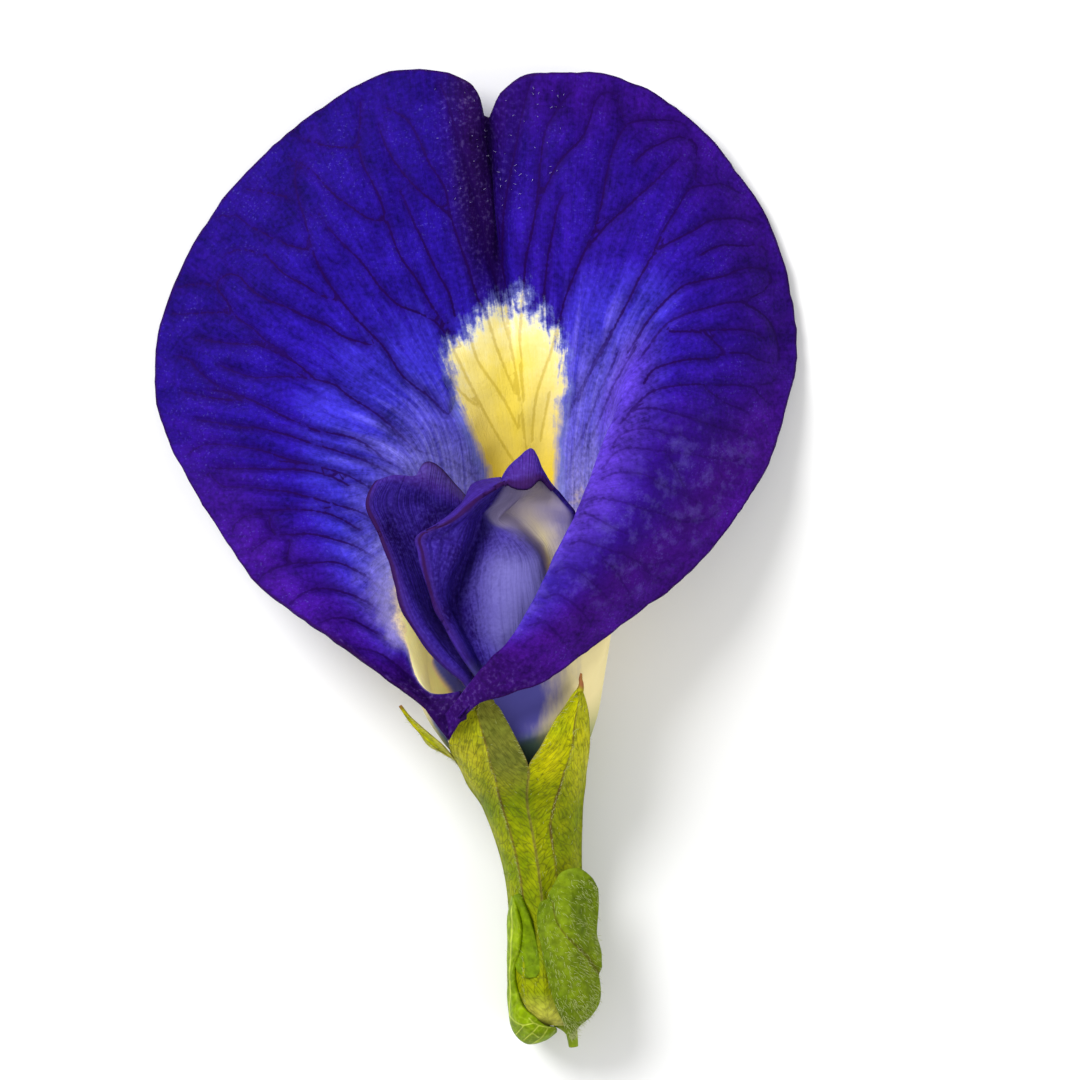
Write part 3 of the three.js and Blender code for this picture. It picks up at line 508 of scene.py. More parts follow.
weight, patch, rim, purple, fold_shade, reach, slate, ridge_highlight, crinkle_highlight, furrow = [
    add(tree, "Attribute", {}, out="Fac", attribute_name=fact) for fact in facts]
fibre = add(tree, "Mapping", {"Vector": uv, "Scale": FIBRES})
fibre = add(tree, "TexNoise", {"Vector": fibre, "Scale": 1, "Detail": 3})
streak = add(tree, "Mapping", {"Vector": uv, "Scale": STREAKS})
streak = add(tree, "TexNoise", {"Vector": streak, "Scale": 1, "Detail": 4})
cloud = add(tree, "TexNoise", {"Vector": where, "Scale": CLOUDS, "Detail": 5})
speck = add(tree, "TexNoise", {"Vector": where, "Scale": SPECKS, "Detail": 2})
print("facts that the petal's face reads:", ", ".join(facts))

# %% [markdown]
# The petal is lavender where it leaves the throat and darkens outwards. The fact "reach" says how far out a
# place is, and the streaks fray its colours. Other colours lie over them in layers: purple by the margins, a
# painted lilac highlight on a soft ridge, and painted shade in the folds below the notch, with pale sparks
# in it.

# %% Finish: standard petal, blue
REACH = [(0.0, "8884C4"), (0.1, "706CC0"), (0.2, "524CB4"), (0.32, "3029A4"), (0.5, "221086"),
         (0.72, "1B086C"), (1.0, "190763")]
frayed = add(tree, "MapRange", {"Value": streak, "To Min": 0.14, "To Max": -0.14})
outer = add(tree, "MapRange", {"Value": reach, "From Min": 0, "From Max": 0.6})
outer = add(tree, "Math", {0: outer, 1: frayed}, operation="ADD")
base = add(tree, "ValToRGB", {"Fac": outer}, stops=REACH)
warm = add(tree, "MapRange", {"Value": streak, "To Min": -0.2, "To Max": 0.2})
warm = add(tree, "Math", {0: purple, 1: warm}, operation="ADD")
warm = add(tree, "MapRange", {"Value": warm, "From Min": 0.1, "From Max": 1.1})
# A painted lilac highlight lies on the soft ridge of the folded side
lilac_highlight = add(tree, "Math", {0: ridge_highlight, 1: 0.6}, operation="MULTIPLY")
# Painted shade lies in the folds below the notch and where the margins meet, with pale sparks in it
spark = add(tree, "MapRange", {"Value": speck, "From Min": 0.55, "From Max": 0.75, "To Max": 0.16})
spark = add(tree, "Math", {0: spark, 1: fold_shade}, operation="MULTIPLY")
for amount, tint in ((warm, "360B6C"), (lilac_highlight, "5434B0"), (fold_shade, "20063C"), (spark, "8474A0")):
    base = add(tree, "MixRGB", {"Fac": amount, "Color1": base, "Color2": tint})
print("nodes so far:", len(tree.nodes))

# %% [markdown]
# No two cells of a petal are equally bright. One number gathers the fibres, streaks, clouds and specks, and
# the colour is multiplied by it; in the furrowed parts, painted light makes the field between veins lighter.
# Small bright dots come on top, and pale painted highlights on the creases where the petal is crumpled.

# %% Finish: standard petal, uneven light
DOTS = 8 / MM  # bright dots: 0.12 mm
CREASE_HIGHLIGHTS = 0.9 / MM  # creases: 1.1 mm
calm = add(tree, "MapRange", {"Value": reach, "From Min": 0.1, "From Max": 0.3, "To Min": 0.55,
                              "To Max": 0.35})
# Painted light: the raised field between veins is lighter where the petal is furrowed
crest = add(tree, "MapRange", {"Value": away, "From Min": 8, "From Max": 30, "To Min": 0, "To Max": 0.08})
uneven = add(tree, "Math", {0: fibre, 1: 0.5}, operation="SUBTRACT")
uneven = add(tree, "Math", {0: uneven, 1: calm, 2: cloud}, operation="MULTIPLY_ADD")
for pattern, share in ((streak, 0.45), (speck, 0.9), (crest, furrow)):
    uneven = add(tree, "Math", {0: pattern, 1: share, 2: uneven}, operation="MULTIPLY_ADD")
uneven = add(tree, "MapRange", {"Value": uneven, "From Min": 0.77, "From Max": 1.57, "To Min": 0.35,
                                "To Max": 1.7})
even = add(tree, "Math", {0: crinkle_highlight, 1: 0.5}, operation="MULTIPLY")
uneven = add(tree, "Mix", {"Factor": even, "A": uneven, "B": 0.92})
base = add(tree, "VectorMath", {0: base, "Scale": uneven}, operation="SCALE")
dots = add(tree, "TexNoise", {"Vector": where, "Scale": DOTS, "Detail": 1})
dots = add(tree, "MapRange", {"Value": dots, "From Min": 0.62, "From Max": 0.8, "To Max": 0.35})
some = add(tree, "MapRange", {"Value": cloud, "From Min": 0.45, "From Max": 0.65, "To Min": 0.05})
dots = add(tree, "Math", {0: dots, 1: some}, operation="MULTIPLY")
# Painted highlights: pale streaks on the creases of the crumpled part of the folded side
crease = add(tree, "TexNoise", {"Vector": where, "Scale": CREASE_HIGHLIGHTS, "Detail": 6, "Roughness": 0.7})
crease = add(tree, "MapRange", {"Value": crease, "From Min": 0.5, "From Max": 0.75, "To Max": 0.35})
crease = add(tree, "Math", {0: crease, 1: crinkle_highlight}, operation="MULTIPLY")
for amount, tint in ((dots, "6058BC"), (crease, "665CAE")):
    base = add(tree, "MixRGB", {"Fac": amount, "Color1": base, "Color2": tint})
print("nodes so far:", len(tree.nodes))

# %% [markdown]
# A vein is a dark line with a wide soft halo: the halo is partly the vein's own colour and partly painted
# shade of the groove that the vein is sunk in, deeper in the furrows. Specks make its edge ragged, because
# it runs through cells. Between the drawn veins lies a faint net, the edges of Voronoi cells that some noise
# bends.

# %% Finish: standard petal, veins
NET = (52, 26, 1)  # meshes of the faint net across each half and along the petal: 1 mm by 1.7 mm
web = add(tree, "Mapping", {"Vector": uv, "Scale": NET})
wander = add(tree, "TexNoise", {"Vector": web, "Scale": 1.5, "Detail": 2}, out="Color")
web = add(tree, "VectorMath", {0: wander, 1: (0.7, 0.7, 0), 2: web}, operation="MULTIPLY_ADD")
web = add(tree, "TexVoronoi", {"Vector": web, "Scale": 1}, feature="DISTANCE_TO_EDGE")
faint = add(tree, "MapRange", {"Value": web, "From Min": 0, "From Max": 0.07, "To Min": 0.18, "To Max": 0},
            interpolation_type="SMOOTHSTEP")
ragged = add(tree, "Math", {0: speck, 1: 2.4, 2: away}, operation="MULTIPLY_ADD")
line = add(tree, "MapRange", {"Value": ragged, "From Min": 1.7, "From Max": 3.6, "To Min": 0.95,
                              "To Max": 0}, interpolation_type="SMOOTHSTEP")
halo_shade = add(tree, "MapRange", {"Value": away, "From Min": 0, "From Max": 11, "To Min": 0.5, "To Max": 0},
           interpolation_type="SMOOTHSTEP")
# The halo's painted shade is deeper where the petal is furrowed
deeper = add(tree, "Math", {0: furrow, 1: 0.4, 2: 0.75}, operation="MULTIPLY_ADD")
dark = add(tree, "Math", {0: halo_shade, 1: deeper}, operation="MULTIPLY")
for other, how in ((line, "MAXIMUM"), (weight, "MULTIPLY"), (faint, "MAXIMUM")):
    dark = add(tree, "Math", {0: dark, 1: other}, operation=how)
base = add(tree, "MixRGB", {"Fac": dark, "Color1": base, "Color2": "1C0446"})
print("nodes so far:", len(tree.nodes))

# %% [markdown]
# The yellow patch has feathered edges: fine teeth, and tufts along the fibres. The fact "patch" says
# how deep inside its outline a place is, and the teeth and tufts are added to it before the patch is
# cut out. The feathers are longest at its top, so they fade downwards.

# %% Finish: standard petal, yellow patch
TEETH = 1.3 / MM  # teeth: 0.8 mm
TUFTS = (90, 20, 1)  # tufts across each half and along the petal: 0.6 mm by 2.2 mm
YELLOW = [(0.0, "D4D4C8"), (0.08, "E0DAB0"), (0.25, "E8DA90"), (1.0, "E0CA54")]
high = add(tree, "MapRange", {"Value": place["Y"], "From Min": 0.58, "From Max": 0.7, "To Min": 0.25,
                              "To Max": 1})
teeth = add(tree, "TexNoise", {"Vector": where, "Scale": TEETH, "Detail": 6, "Roughness": 0.7})
teeth = add(tree, "MapRange", {"Value": teeth, "From Min": 0.3, "From Max": 0.7, "To Min": -9, "To Max": 9})
tuft = add(tree, "Mapping", {"Vector": uv, "Scale": TUFTS})
tuft = add(tree, "TexNoise", {"Vector": tuft, "Scale": 1, "Detail": 4, "Distortion": 0.9})
tuft = add(tree, "MapRange", {"Value": tuft, "From Min": 0.3, "From Max": 0.7, "To Min": -5, "To Max": 5})
frill = add(tree, "Math", {0: teeth, 1: tuft}, operation="ADD")
edge = add(tree, "Math", {0: frill, 1: high, 2: patch}, operation="MULTIPLY_ADD")
fringe = add(tree, "MapRange", {"Value": edge, "From Min": -15, "From Max": 0, "To Max": 0.8},
             interpolation_type="SMOOTHSTEP")
inside = add(tree, "MapRange", {"Value": edge, "From Min": -5, "From Max": 4})
deep = add(tree, "MapRange", {"Value": edge, "From Min": 0, "From Max": 45})
yellow = add(tree, "ValToRGB", {"Fac": deep}, stops=YELLOW)
low = add(tree, "MapRange", {"Value": place["Y"], "From Min": 0.72, "From Max": 0.55})
pale_line = add(tree, "Math", {0: line, 1: 0.5}, operation="MULTIPLY")
for amount, tint in ((low, "D8BC38"), (pale_line, "A88C10")):
    yellow = add(tree, "MixRGB", {"Fac": amount, "Color1": yellow, "Color2": tint})
for amount, tint in ((fringe, "7078BC"), (inside, yellow)):
    base = add(tree, "MixRGB", {"Fac": amount, "Color1": base, "Color2": tint})
print("nodes so far:", len(tree.nodes))

# %% [markdown]
# The throat is cream, with a greyish haze beside it on the left. Inside the tube it turns slate blue,
# and the cut edge of the petal is dark all round.

# %% Finish: standard petal, throat and margin
torn = add(tree, "Math", {0: teeth, 1: 0.0035, 2: reach}, operation="MULTIPLY_ADD")
haze = add(tree, "MapRange", {"Value": torn, "From Min": 0.13, "From Max": 0.0, "To Max": 0.75})
left = add(tree, "MapRange", {"Value": place["X"], "From Min": -0.72, "From Max": -0.82})
haze = add(tree, "Math", {0: haze, 1: left}, operation="MULTIPLY")
throat = add(tree, "MapRange", {"Value": torn, "From Min": 0.05, "From Max": -0.05},
             interpolation_type="SMOOTHSTEP")
border = add(tree, "MapRange", {"Value": rim, "From Min": 0.8, "From Max": 3.2, "To Min": 0.6, "To Max": 0},
             interpolation_type="SMOOTHSTEP")
for amount, tint in ((haze, "8A82AC"), (throat, "FFE8AA"), (slate, "686CC4"), (border, "260A38")):
    base = add(tree, "MixRGB", {"Fac": amount, "Color1": base, "Color2": tint})
print("nodes so far:", len(tree.nodes))

# %% [markdown]
# Veins are sunk, fibres and grain are raised, and both are shallow, so a Bump node is enough for them.
# The thin wall on the left of the throat lets light through. Subsurface scattering softens the cream
# there, and a little emission stands for the light that falls through from behind.

# %% Finish: standard petal, relief and light
GRAIN = 5 / MM  # single cells of the skin: 0.2 mm, drawn coarser than they are, to show at all
through = add(tree, "MapRange", {"Value": place["X"], "From Min": -0.3, "From Max": -0.5, "To Max": 0.2})
through = add(tree, "Math", {0: through, 1: throat}, operation="MULTIPLY")
sunk = add(tree, "MapRange", {"Value": away, "From Min": 0, "From Max": 5, "To Min": -0.7, "To Max": 0},
           interpolation_type="SMOOTHSTEP")
flatter = add(tree, "MapRange", {"Value": inside, "To Min": 1, "To Max": 0.2})
for factor in (weight, flatter):
    sunk = add(tree, "Math", {0: sunk, 1: factor}, operation="MULTIPLY")
grain = add(tree, "TexNoise", {"Vector": where, "Scale": GRAIN, "Detail": 2})
height = sunk
for pattern, share in ((fibre, 0.3), (grain, 0.3), (faint, -0.5)):
    height = add(tree, "Math", {0: pattern, 1: share, 2: height}, operation="MULTIPLY_ADD")
bump = add(tree, "Bump", {"Height": height, "Distance": 0.1 * MM, "Strength": 0.6})
surface(tree, Base_Color=base, Roughness=0.6, Normal=bump, Specular_IOR_Level=SKIN_GLOSS,
        Subsurface_Weight=throat, Subsurface_Radius=(1, 0.9, 0.6), Subsurface_Scale=0.8 * MM,
        Emission_Color=base, Emission_Strength=through)
print("nodes in the petal's face:", len(tree.nodes))

# %% [markdown]
# The outside of the standard, which shows on the rolled tube, is paler: cream by the claw and along
# the middle, and a thin blue towards the margins, with the veins faint.

# %% Finish: standard petal, back
BACK_STREAKS = 1.1 / MM  # streaks of 0.9 mm, three times as long as they are wide
pale_back, tree = finish("petal_epidermis_pale_back")
where = add(tree, "TexCoord", {}, out="Object")
uv = add(tree, "UVMap", {}, uv_map="petal")
place = add(tree, "SeparateXYZ", {0: uv}).node.outputs
vein = add(tree, "Attribute", {}, out="Vector", attribute_name="vein")
away = add(tree, "VectorMath", {0: vein}, out="Value", operation="LENGTH")
streak = add(tree, "Mapping", {"Vector": where, "Scale": (1, 0.3, 0.3)})
streak = add(tree, "TexNoise", {"Vector": streak, "Scale": BACK_STREAKS, "Detail": 6, "Roughness": 0.6})
aside = add(tree, "Math", {0: place["X"]}, operation="ABSOLUTE")
side = add(tree, "MapRange", {"Value": aside, "From Min": 0.8, "From Max": 0.95})
outer = add(tree, "MapRange", {"Value": place["Y"], "From Min": 0.45, "From Max": 0.75})
frayed = add(tree, "MapRange", {"Value": streak, "To Min": -0.35, "To Max": 0.35})
blue = add(tree, "Math", {0: side, 1: outer}, operation="MAXIMUM")
blue = add(tree, "Math", {0: blue, 1: frayed}, operation="ADD")
blue = add(tree, "MapRange", {"Value": blue, "From Min": 0.2, "From Max": 0.8},
           interpolation_type="SMOOTHSTEP")
foot = add(tree, "MapRange", {"Value": place["Y"], "From Min": 0.31, "From Max": 0.23, "To Max": 0.7})
corner = add(tree, "MapRange", {"Value": aside, "From Min": 0.8, "From Max": 0.88})
corner = add(tree, "Math", {0: corner, 1: outer}, operation="MULTIPLY")
line = add(tree, "MapRange", {"Value": away, "From Min": 0.5, "From Max": 3, "To Min": 0.6, "To Max": 0},
           interpolation_type="SMOOTHSTEP")
base = "DECF98"
for amount, tint in ((blue, "504C98"), (foot, "4E6E34"), (corner, "2A0A5C"), (line, "241670")):
    base = add(tree, "MixRGB", {"Fac": amount, "Color1": base, "Color2": tint})
bump = add(tree, "Bump", {"Height": streak, "Distance": 0.08 * MM, "Strength": 0.6})
surface(tree, Base_Color=base, Roughness=0.5, Normal=bump, Specular_IOR_Level=SKIN_GLOSS)
print("nodes in the petal's back:", len(tree.nodes))

# %% [markdown]
# The grid of the standard has to be even on the petal, not on the net, or its steps would be coarse
# where the petal is wide. Steps of equal length along the petal give each vein the same sharpness.

# %% Standard petal: an even grid
LOW_S, HIGH_S = -1.0, 1.0
COLUMNS, ROWS = 290, 158
PETAL = 0.25  # thickness in mm


def evened(low, high, count, lengths):
    """Values from low to high in steps that are equally long on the petal."""
    fine = np.linspace(low, high, 601)
    run = np.concatenate([[0], np.cumsum(lengths(fine))])
    return np.interp(np.linspace(0, run[-1], count + 1), run, fine)


def across(net, rows):
    return lambda fine: np.linalg.norm(np.diff(to_frame(sheet(net, fine, rows)), axis=1), axis=2).mean(0)


def along(net, columns):
    return lambda fine: np.linalg.norm(np.diff(to_frame(sheet(net, columns, fine)), axis=0), axis=2).mean(1)


s = evened(LOW_S, HIGH_S, COLUMNS, across(STANDARD, [0.55, 0.7, 0.85, 1.0]))
t = evened(0.0, 1.0, ROWS, along(STANDARD, [-0.6, -0.3, 0, 0.3, 0.6]))
middle = sheet(STANDARD, s, t)
S, T = np.meshgrid(s, t)
print("standard grid:", middle.shape)

# %% Standard petal: facts for the finish
PATCH = [(496, 560), (488, 500), (488, 472), (472, 438), (463, 415), (457, 391), (447, 362), (452, 345),
         (469, 337), (471, 326), (478, 322), (484, 311), (492, 304), (501, 305), (508, 322), (515, 316),
         (522, 292), (526, 317), (533, 322), (539, 312), (543, 326), (550, 334), (557, 329), (557, 345),
         (565, 353), (563, 368), (566, 384), (561, 400), (561, 420), (558, 440), (557, 470), (557, 500),
         (557, 560)]


def depth_in(outline, points):
    """How deep each drawing point lies in an outline, in drawing units; outside it is below zero."""
    p = np.asarray(points, float)[:, None]
    a = np.array(outline, float)[None]
    b = np.roll(a, -1, axis=1)
    edge = b - a
    part = np.clip(((p - a) * edge).sum(2) / (edge * edge).sum(2), 0, 1)
    gap = np.linalg.norm(p - a - part[..., None] * edge, axis=2).min(1)
    crosses = (a[..., 1] > p[..., 1]) != (b[..., 1] > p[..., 1])
    at = a[..., 0] + edge[..., 0] * (p[..., 1] - a[..., 1]) / np.where(edge[..., 1] == 0, 1, edge[..., 1])
    inside = (crosses & (p[..., 0] < at)).sum(1) % 2 == 1
    return np.where(inside, gap, -gap)


flat = middle[..., :2].reshape(-1, 2)
left_half = (S < 0).ravel()
flap = ((S >= 0) & (T >= 0.5)).ravel()
vein = np.zeros_like(flat)
run = np.zeros(len(flat))
for lines, chosen in ((LEFT_VEINS, left_half), (RIGHT_VEINS + FLAP_VEINS, flap),
                      (RIGHT_VEINS, ~left_half & ~flap)):
    vein[chosen], run[chosen] = nearest(lines, flat[chosen])
# A vein is weaker towards its end, and all of them are weaker on the folded side
weight = (1 - 0.2 * blend(0.5, 1.0, run)).reshape(S.shape) * (1 - 0.45 * blend(0.5, 0.62, S))
away = np.linalg.norm(vein, axis=1).reshape(S.shape)
vein = vein.reshape(S.shape + (2,))
print("furthest from a vein: %.0f drawing units" % away.max())

# %% [markdown]
# Between two vertices the way to a vein is blended. Where one vertex points to one vein and the next
# to another, the blend would pass through zero and draw a vein that isn't there. A third component
# lifts the way off zero in such places, far from veins, and inside the tube, where none shows.

# %% Standard petal: lifting the way to a vein
NEAR = 4.0  # drawing units round a vein in which its distance is exact
FAR = 20  # added inside the tube
APART = 2.5  # how much more than a step the way may turn
lift = np.maximum(0, away - NEAR) * 2 + FAR * blend(0.5, 0.44, T)
for axis, (low, high) in enumerate(((np.s_[:-1], np.s_[1:]), (np.s_[:, :-1], np.s_[:, 1:]))):
    turn = np.linalg.norm(np.diff(vein, axis=axis), axis=2)
    step = np.linalg.norm(np.diff(middle[..., :2], axis=axis), axis=2)
    for side in (low, high):
        lift[side] = np.where(turn > step + APART, np.maximum(lift[side], NEAR), lift[side])
vein = np.concatenate([vein, lift[..., None]], 2)
print("lifted: %.0f%% of the vertices" % (100 * (lift > 0).mean()))

# %% [markdown]
# The other facts are soft regions of the petal. A blend along s or t fades each of them in and out,
# and a product of blends keeps it where all of them are on.

# %% Standard petal: regions
steps = np.linalg.norm(np.diff(middle[..., :2], axis=0), axis=2)
rim = np.zeros_like(S)
rim[:-1] = np.cumsum(steps[::-1], axis=0)[::-1]
patch = depth_in(PATCH, flat).reshape(S.shape)
patch = np.where(np.abs(S) < 0.42, patch, -60)  # the folded side is over the patch, not in it
# t at which the cream throat gives way to blue, at each s
THROAT = [(-1, 0.54), (-0.97, 0.58), (-0.94, 0.6), (-0.9, 0.6), (-0.88, 0.59), (-0.83, 0.55), (-0.78, 0.51),
          (-0.7, 0.46), (-0.5, 0.44), (0.2, 0.44), (0.4, 0.41), (1, 0.41)]
reach = T - np.interp(S, [p[0] for p in THROAT], [p[1] for p in THROAT])
pale = blend(0.12, 0.2, S) * blend(0.45, 0.38, S) * blend(0.54, 0.6, T) * blend(0.82, 0.7, T)
# On the left the colours of the throat reach further out, as they do at one place on the right
bluer = blend(-0.45, -0.55, S) * blend(-0.9, -0.86, S) * blend(0.8, 0.65, T)
reach *= 1 + 3 * blend(-0.89, -0.92, S) - 0.3 * pale - 0.15 * bluer
reach += 0.5 * blend(0.86, 0.93, S) * blend(0.42, 0.48, T)
reach *= 1 - 0.06 * blend(0, 0.08, S) * blend(0.5, 0.42, S)
weight *= blend(0.02, 0.2, reach)
drawn_y = middle[..., 1]
# The tube's inside is slate blue beyond a slanting edge: s of that edge at each t
slanting = np.interp(T, [0.305, 0.315, 0.341], [-0.38, -0.43, -0.575])
slate = blend(-0.04, 0.04, S - slanting) * blend(0.45, 0.42, T) * blend(0.5, 0.3, S)
# Painted highlight: a lighter band along the soft ridge of the folded right side
ridge_highlight = blend(0.3, 0.38, S) * blend(0.8, 0.7, S) * blend(0.47, 0.54, T) * blend(0.7, 0.6, T)
# Purple: near the margins, more so low down and on the right, and on the folded side
purple = (1 - blend(8, 90 + 50 * (S < 0), rim)) * (0.12 + 0.2 * (S > 0) + 0.6 * blend(380, 560, drawn_y))
purple = np.clip(purple + 0.22 * blend(0, 0.1, S) + 0.35 * blend(0.5, 0.62, S), 0, 1)
# Where pale highlights are painted on the crumpled part of the folded side
crinkle_highlight = blend(0.55, 0.62, S) * blend(0.85, 0.78, S) * blend(8, 30, rim) * blend(150, 90, rim)
# Painted shade: in the fold left of the notch, right of it, and where the two margins meet at the front
fold_shade = 0.85 * blend(-0.14, -0.06, S) * (1 - blend(0.0, 0.012, S)) * blend(0.72, 0.86, T)
fold_shade = np.maximum(fold_shade, 0.45 * blend(-0.001, 0.002, S) * (1 - blend(0.02, 0.09, S)) * blend(0.8, 0.95, T))
fold_shade = np.maximum(fold_shade, 0.8 * blend(-0.9, -0.94, S) * blend(0.5, 0.58, T))
fold_shade = np.maximum(fold_shade, 0.6 * blend(0.88, 0.94, S) * blend(0.5, 0.6, T))
fold_shade = np.maximum(fold_shade, 0.6 * blend(10, 5, rim) * blend(-0.8, -0.86, S))
print("deepest in the patch: %.1f units" % patch.max())

# %% Standard petal: relief
def noise_at(points, size, seed):
    """Smooth noise from -1 to 1 at frame points, with bumps of a size in mm."""
    scaled = to_frame(points).reshape(-1, 3) / (size * MM) + seed
    return np.array([noise.noise(Vector(p)) for p in scaled]).reshape(points.shape[:-1])


# Heights in mm: a vein is sunk by the first and the field between veins is raised by the second
SUNK, FIELD = 0.05, 0.06
WAVES = [(0.35, 3.5, 7), (0.14, 1.3, 3)]  # height, size and seed of each kind of wave
RUFFLE, BEAD, WRINKLE = 0.5, 0.14, 0.14
LAID_DOWN = 1.0  # how much lower the end of the folded side lies
lower_left = blend(290, 380, drawn_y) * (S < 0) * blend(0, 60, rim) * blend(0.02, 0.2, reach)
furrow = 1 + 3.0 * lower_left + 0.9 * (S > 0)
groove = FIELD * (1 - np.exp(-(away / 14) ** 2)) - SUNK * np.exp(-(away / 5) ** 2)
groove *= weight * furrow * (1 - 0.9 * blend(-6, 4, patch))
waves = sum(height * noise_at(middle, size, seed) for height, size, seed in WAVES)
ruffle = RUFFLE * noise_at(middle, 2.2, 11) * (1 - blend(10, 70, rim))
bead = BEAD * np.exp(-(((rim - 6) / 4) ** 2)) * blend(-0.8, -0.88, S)
twisted = np.maximum(0.5 * blend(-0.93, -0.96, S), blend(0.88, 0.93, S)) * blend(0.5, 0.62, T)
wrinkle = WRINKLE * twisted * noise_at(middle * (1, 1.6, 1), 0.7, 31)
open_part = blend(0.5, 0.6, T)
relief = (groove + waves * 0.6 + ruffle * 0.5 + bead + wrinkle) * open_part + 0.15
# At the margin the relief goes straight up, so the drawn outline stays where it is
inner = blend(0, 60, rim)
points = raised(middle, relief * inner)
points[..., 2] += relief * (1 - inner)
# The end of the folded side lies down on the left margin
points[..., 2] -= LAID_DOWN * blend(0.955, 1.0, S) * blend(0.45, 0.56, T)
outward = np.gradient(middle[..., :2], axis=0)
outward /= np.maximum(np.linalg.norm(outward, axis=2, keepdims=True), 1e-6)
spread = 1.6 * blend(-0.66, -0.6, S) * blend(-0.12, -0.2, S)
# The margin wanders in and out by a drawing unit or two, so that it isn't a perfect curve
nibble = 1.5 * noise_at(middle, 1.1, 21) + 0.8 * noise_at(middle, 0.4, 23) + spread
nibble *= blend(30, 0, rim) * open_part
points[..., :2] += outward * nibble[..., None]
points[..., 2] = np.maximum(points[..., 2], PETAL)
print("relief: %.2f to %.2f mm" % (relief.min(), relief.max()))

# %% Standard petal: the piece
facts = {
    "vein": vein, "weight": weight, "rim": rim, "patch": patch, "reach": reach, "purple": purple,
    "fold_shade": fold_shade, "slate": slate, "ridge_highlight": ridge_highlight, "crinkle_highlight": crinkle_highlight,
    "furrow": lower_left + 0.4 * (S > 0),
}
standard = grid_piece("standard_bloom", COLUMNS, ROWS, points, s, t, facts)
standard.data.materials.append(velvet)
standard.data.materials.append(pale_back)
thicken(standard, PETAL, -1, back=1, rim=0)
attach(standard, "root")
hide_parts("standard_petal")
print("standard:", len(standard.data.vertices), "vertices in one skin")
petal_points, near_notch = points, np.flatnonzero((np.abs(s) > 0.015) & (np.abs(s) < 0.13))

# %% [markdown]
# The two wings stand in the throat. Each is one sheet whose outer edge rolls back on itself, which
# gives the pinkish rims. At the top, the left wing ends in a small lobe behind its rim, and the right
# one in a pointed flap that is folded to the front. Those two ends are one more row in each net.

# %% Wings: nets
WING_LEFT = [
  [0.0, [[0, 524, 868, 3.5], [1, 524, 868, 2.7]]],
  [0.13, [[0, 514, 800, 4.4], [1, 515, 800, 3.5]]],
  [0.2, [[0, 498, 772, 5.5], [1, 501, 772, 4.6]]],
  [0.28, [[0, 482, 742, 6.8], [0.5, 487, 743, 6.2], [1, 492, 745, 5.5]]],
  [0.4, [[0, 471, 691, 7.0], [0.1, 470, 688, 7.6], [0.22, 474, 687, 7.4], [0.6, 482, 690, 6.4],
    [1, 490, 696, 5.5]]],
  [0.5, [[0, 445, 662, 6.9], [0.08, 439, 660, 7.6], [0.2, 448, 654, 7.5], [0.5, 466, 656, 6.0],
    [1, 490, 670, 5.0]]],
  [0.62, [[0, 414, 619, 7.0], [0.08, 409, 617, 7.7], [0.2, 418, 612, 7.5], [0.5, 445, 618, 5.5],
    [1, 490, 640, 4.4]]],
  [0.75, [[0, 396, 567, 6.4], [0.08, 393, 566, 7.0], [0.2, 400, 563, 6.7], [0.5, 432, 568, 5.0],
    [1, 490, 592, 4.0]]],
  [0.86, [[0, 381, 527, 6.0], [0.08, 377, 527, 6.5], [0.2, 384, 524, 6.2], [0.5, 420, 528, 4.9],
    [1, 486, 552, 4.0]]],
  [0.94, [[0, 371, 504, 5.9], [0.08, 368, 504, 6.3], [0.2, 376, 500, 6.0], [0.5, 414, 503, 5.1],
    [1, 480, 526, 4.2]]],
  [1.0, [[0, 379, 483, 5.3], [0.08, 377, 483, 5.8], [0.25, 393, 478, 5.9], [0.45, 412, 481, 5.7],
    [0.65, 432, 489, 5.4], [0.85, 452, 500, 5.0], [1, 470, 511, 4.5]]],
]

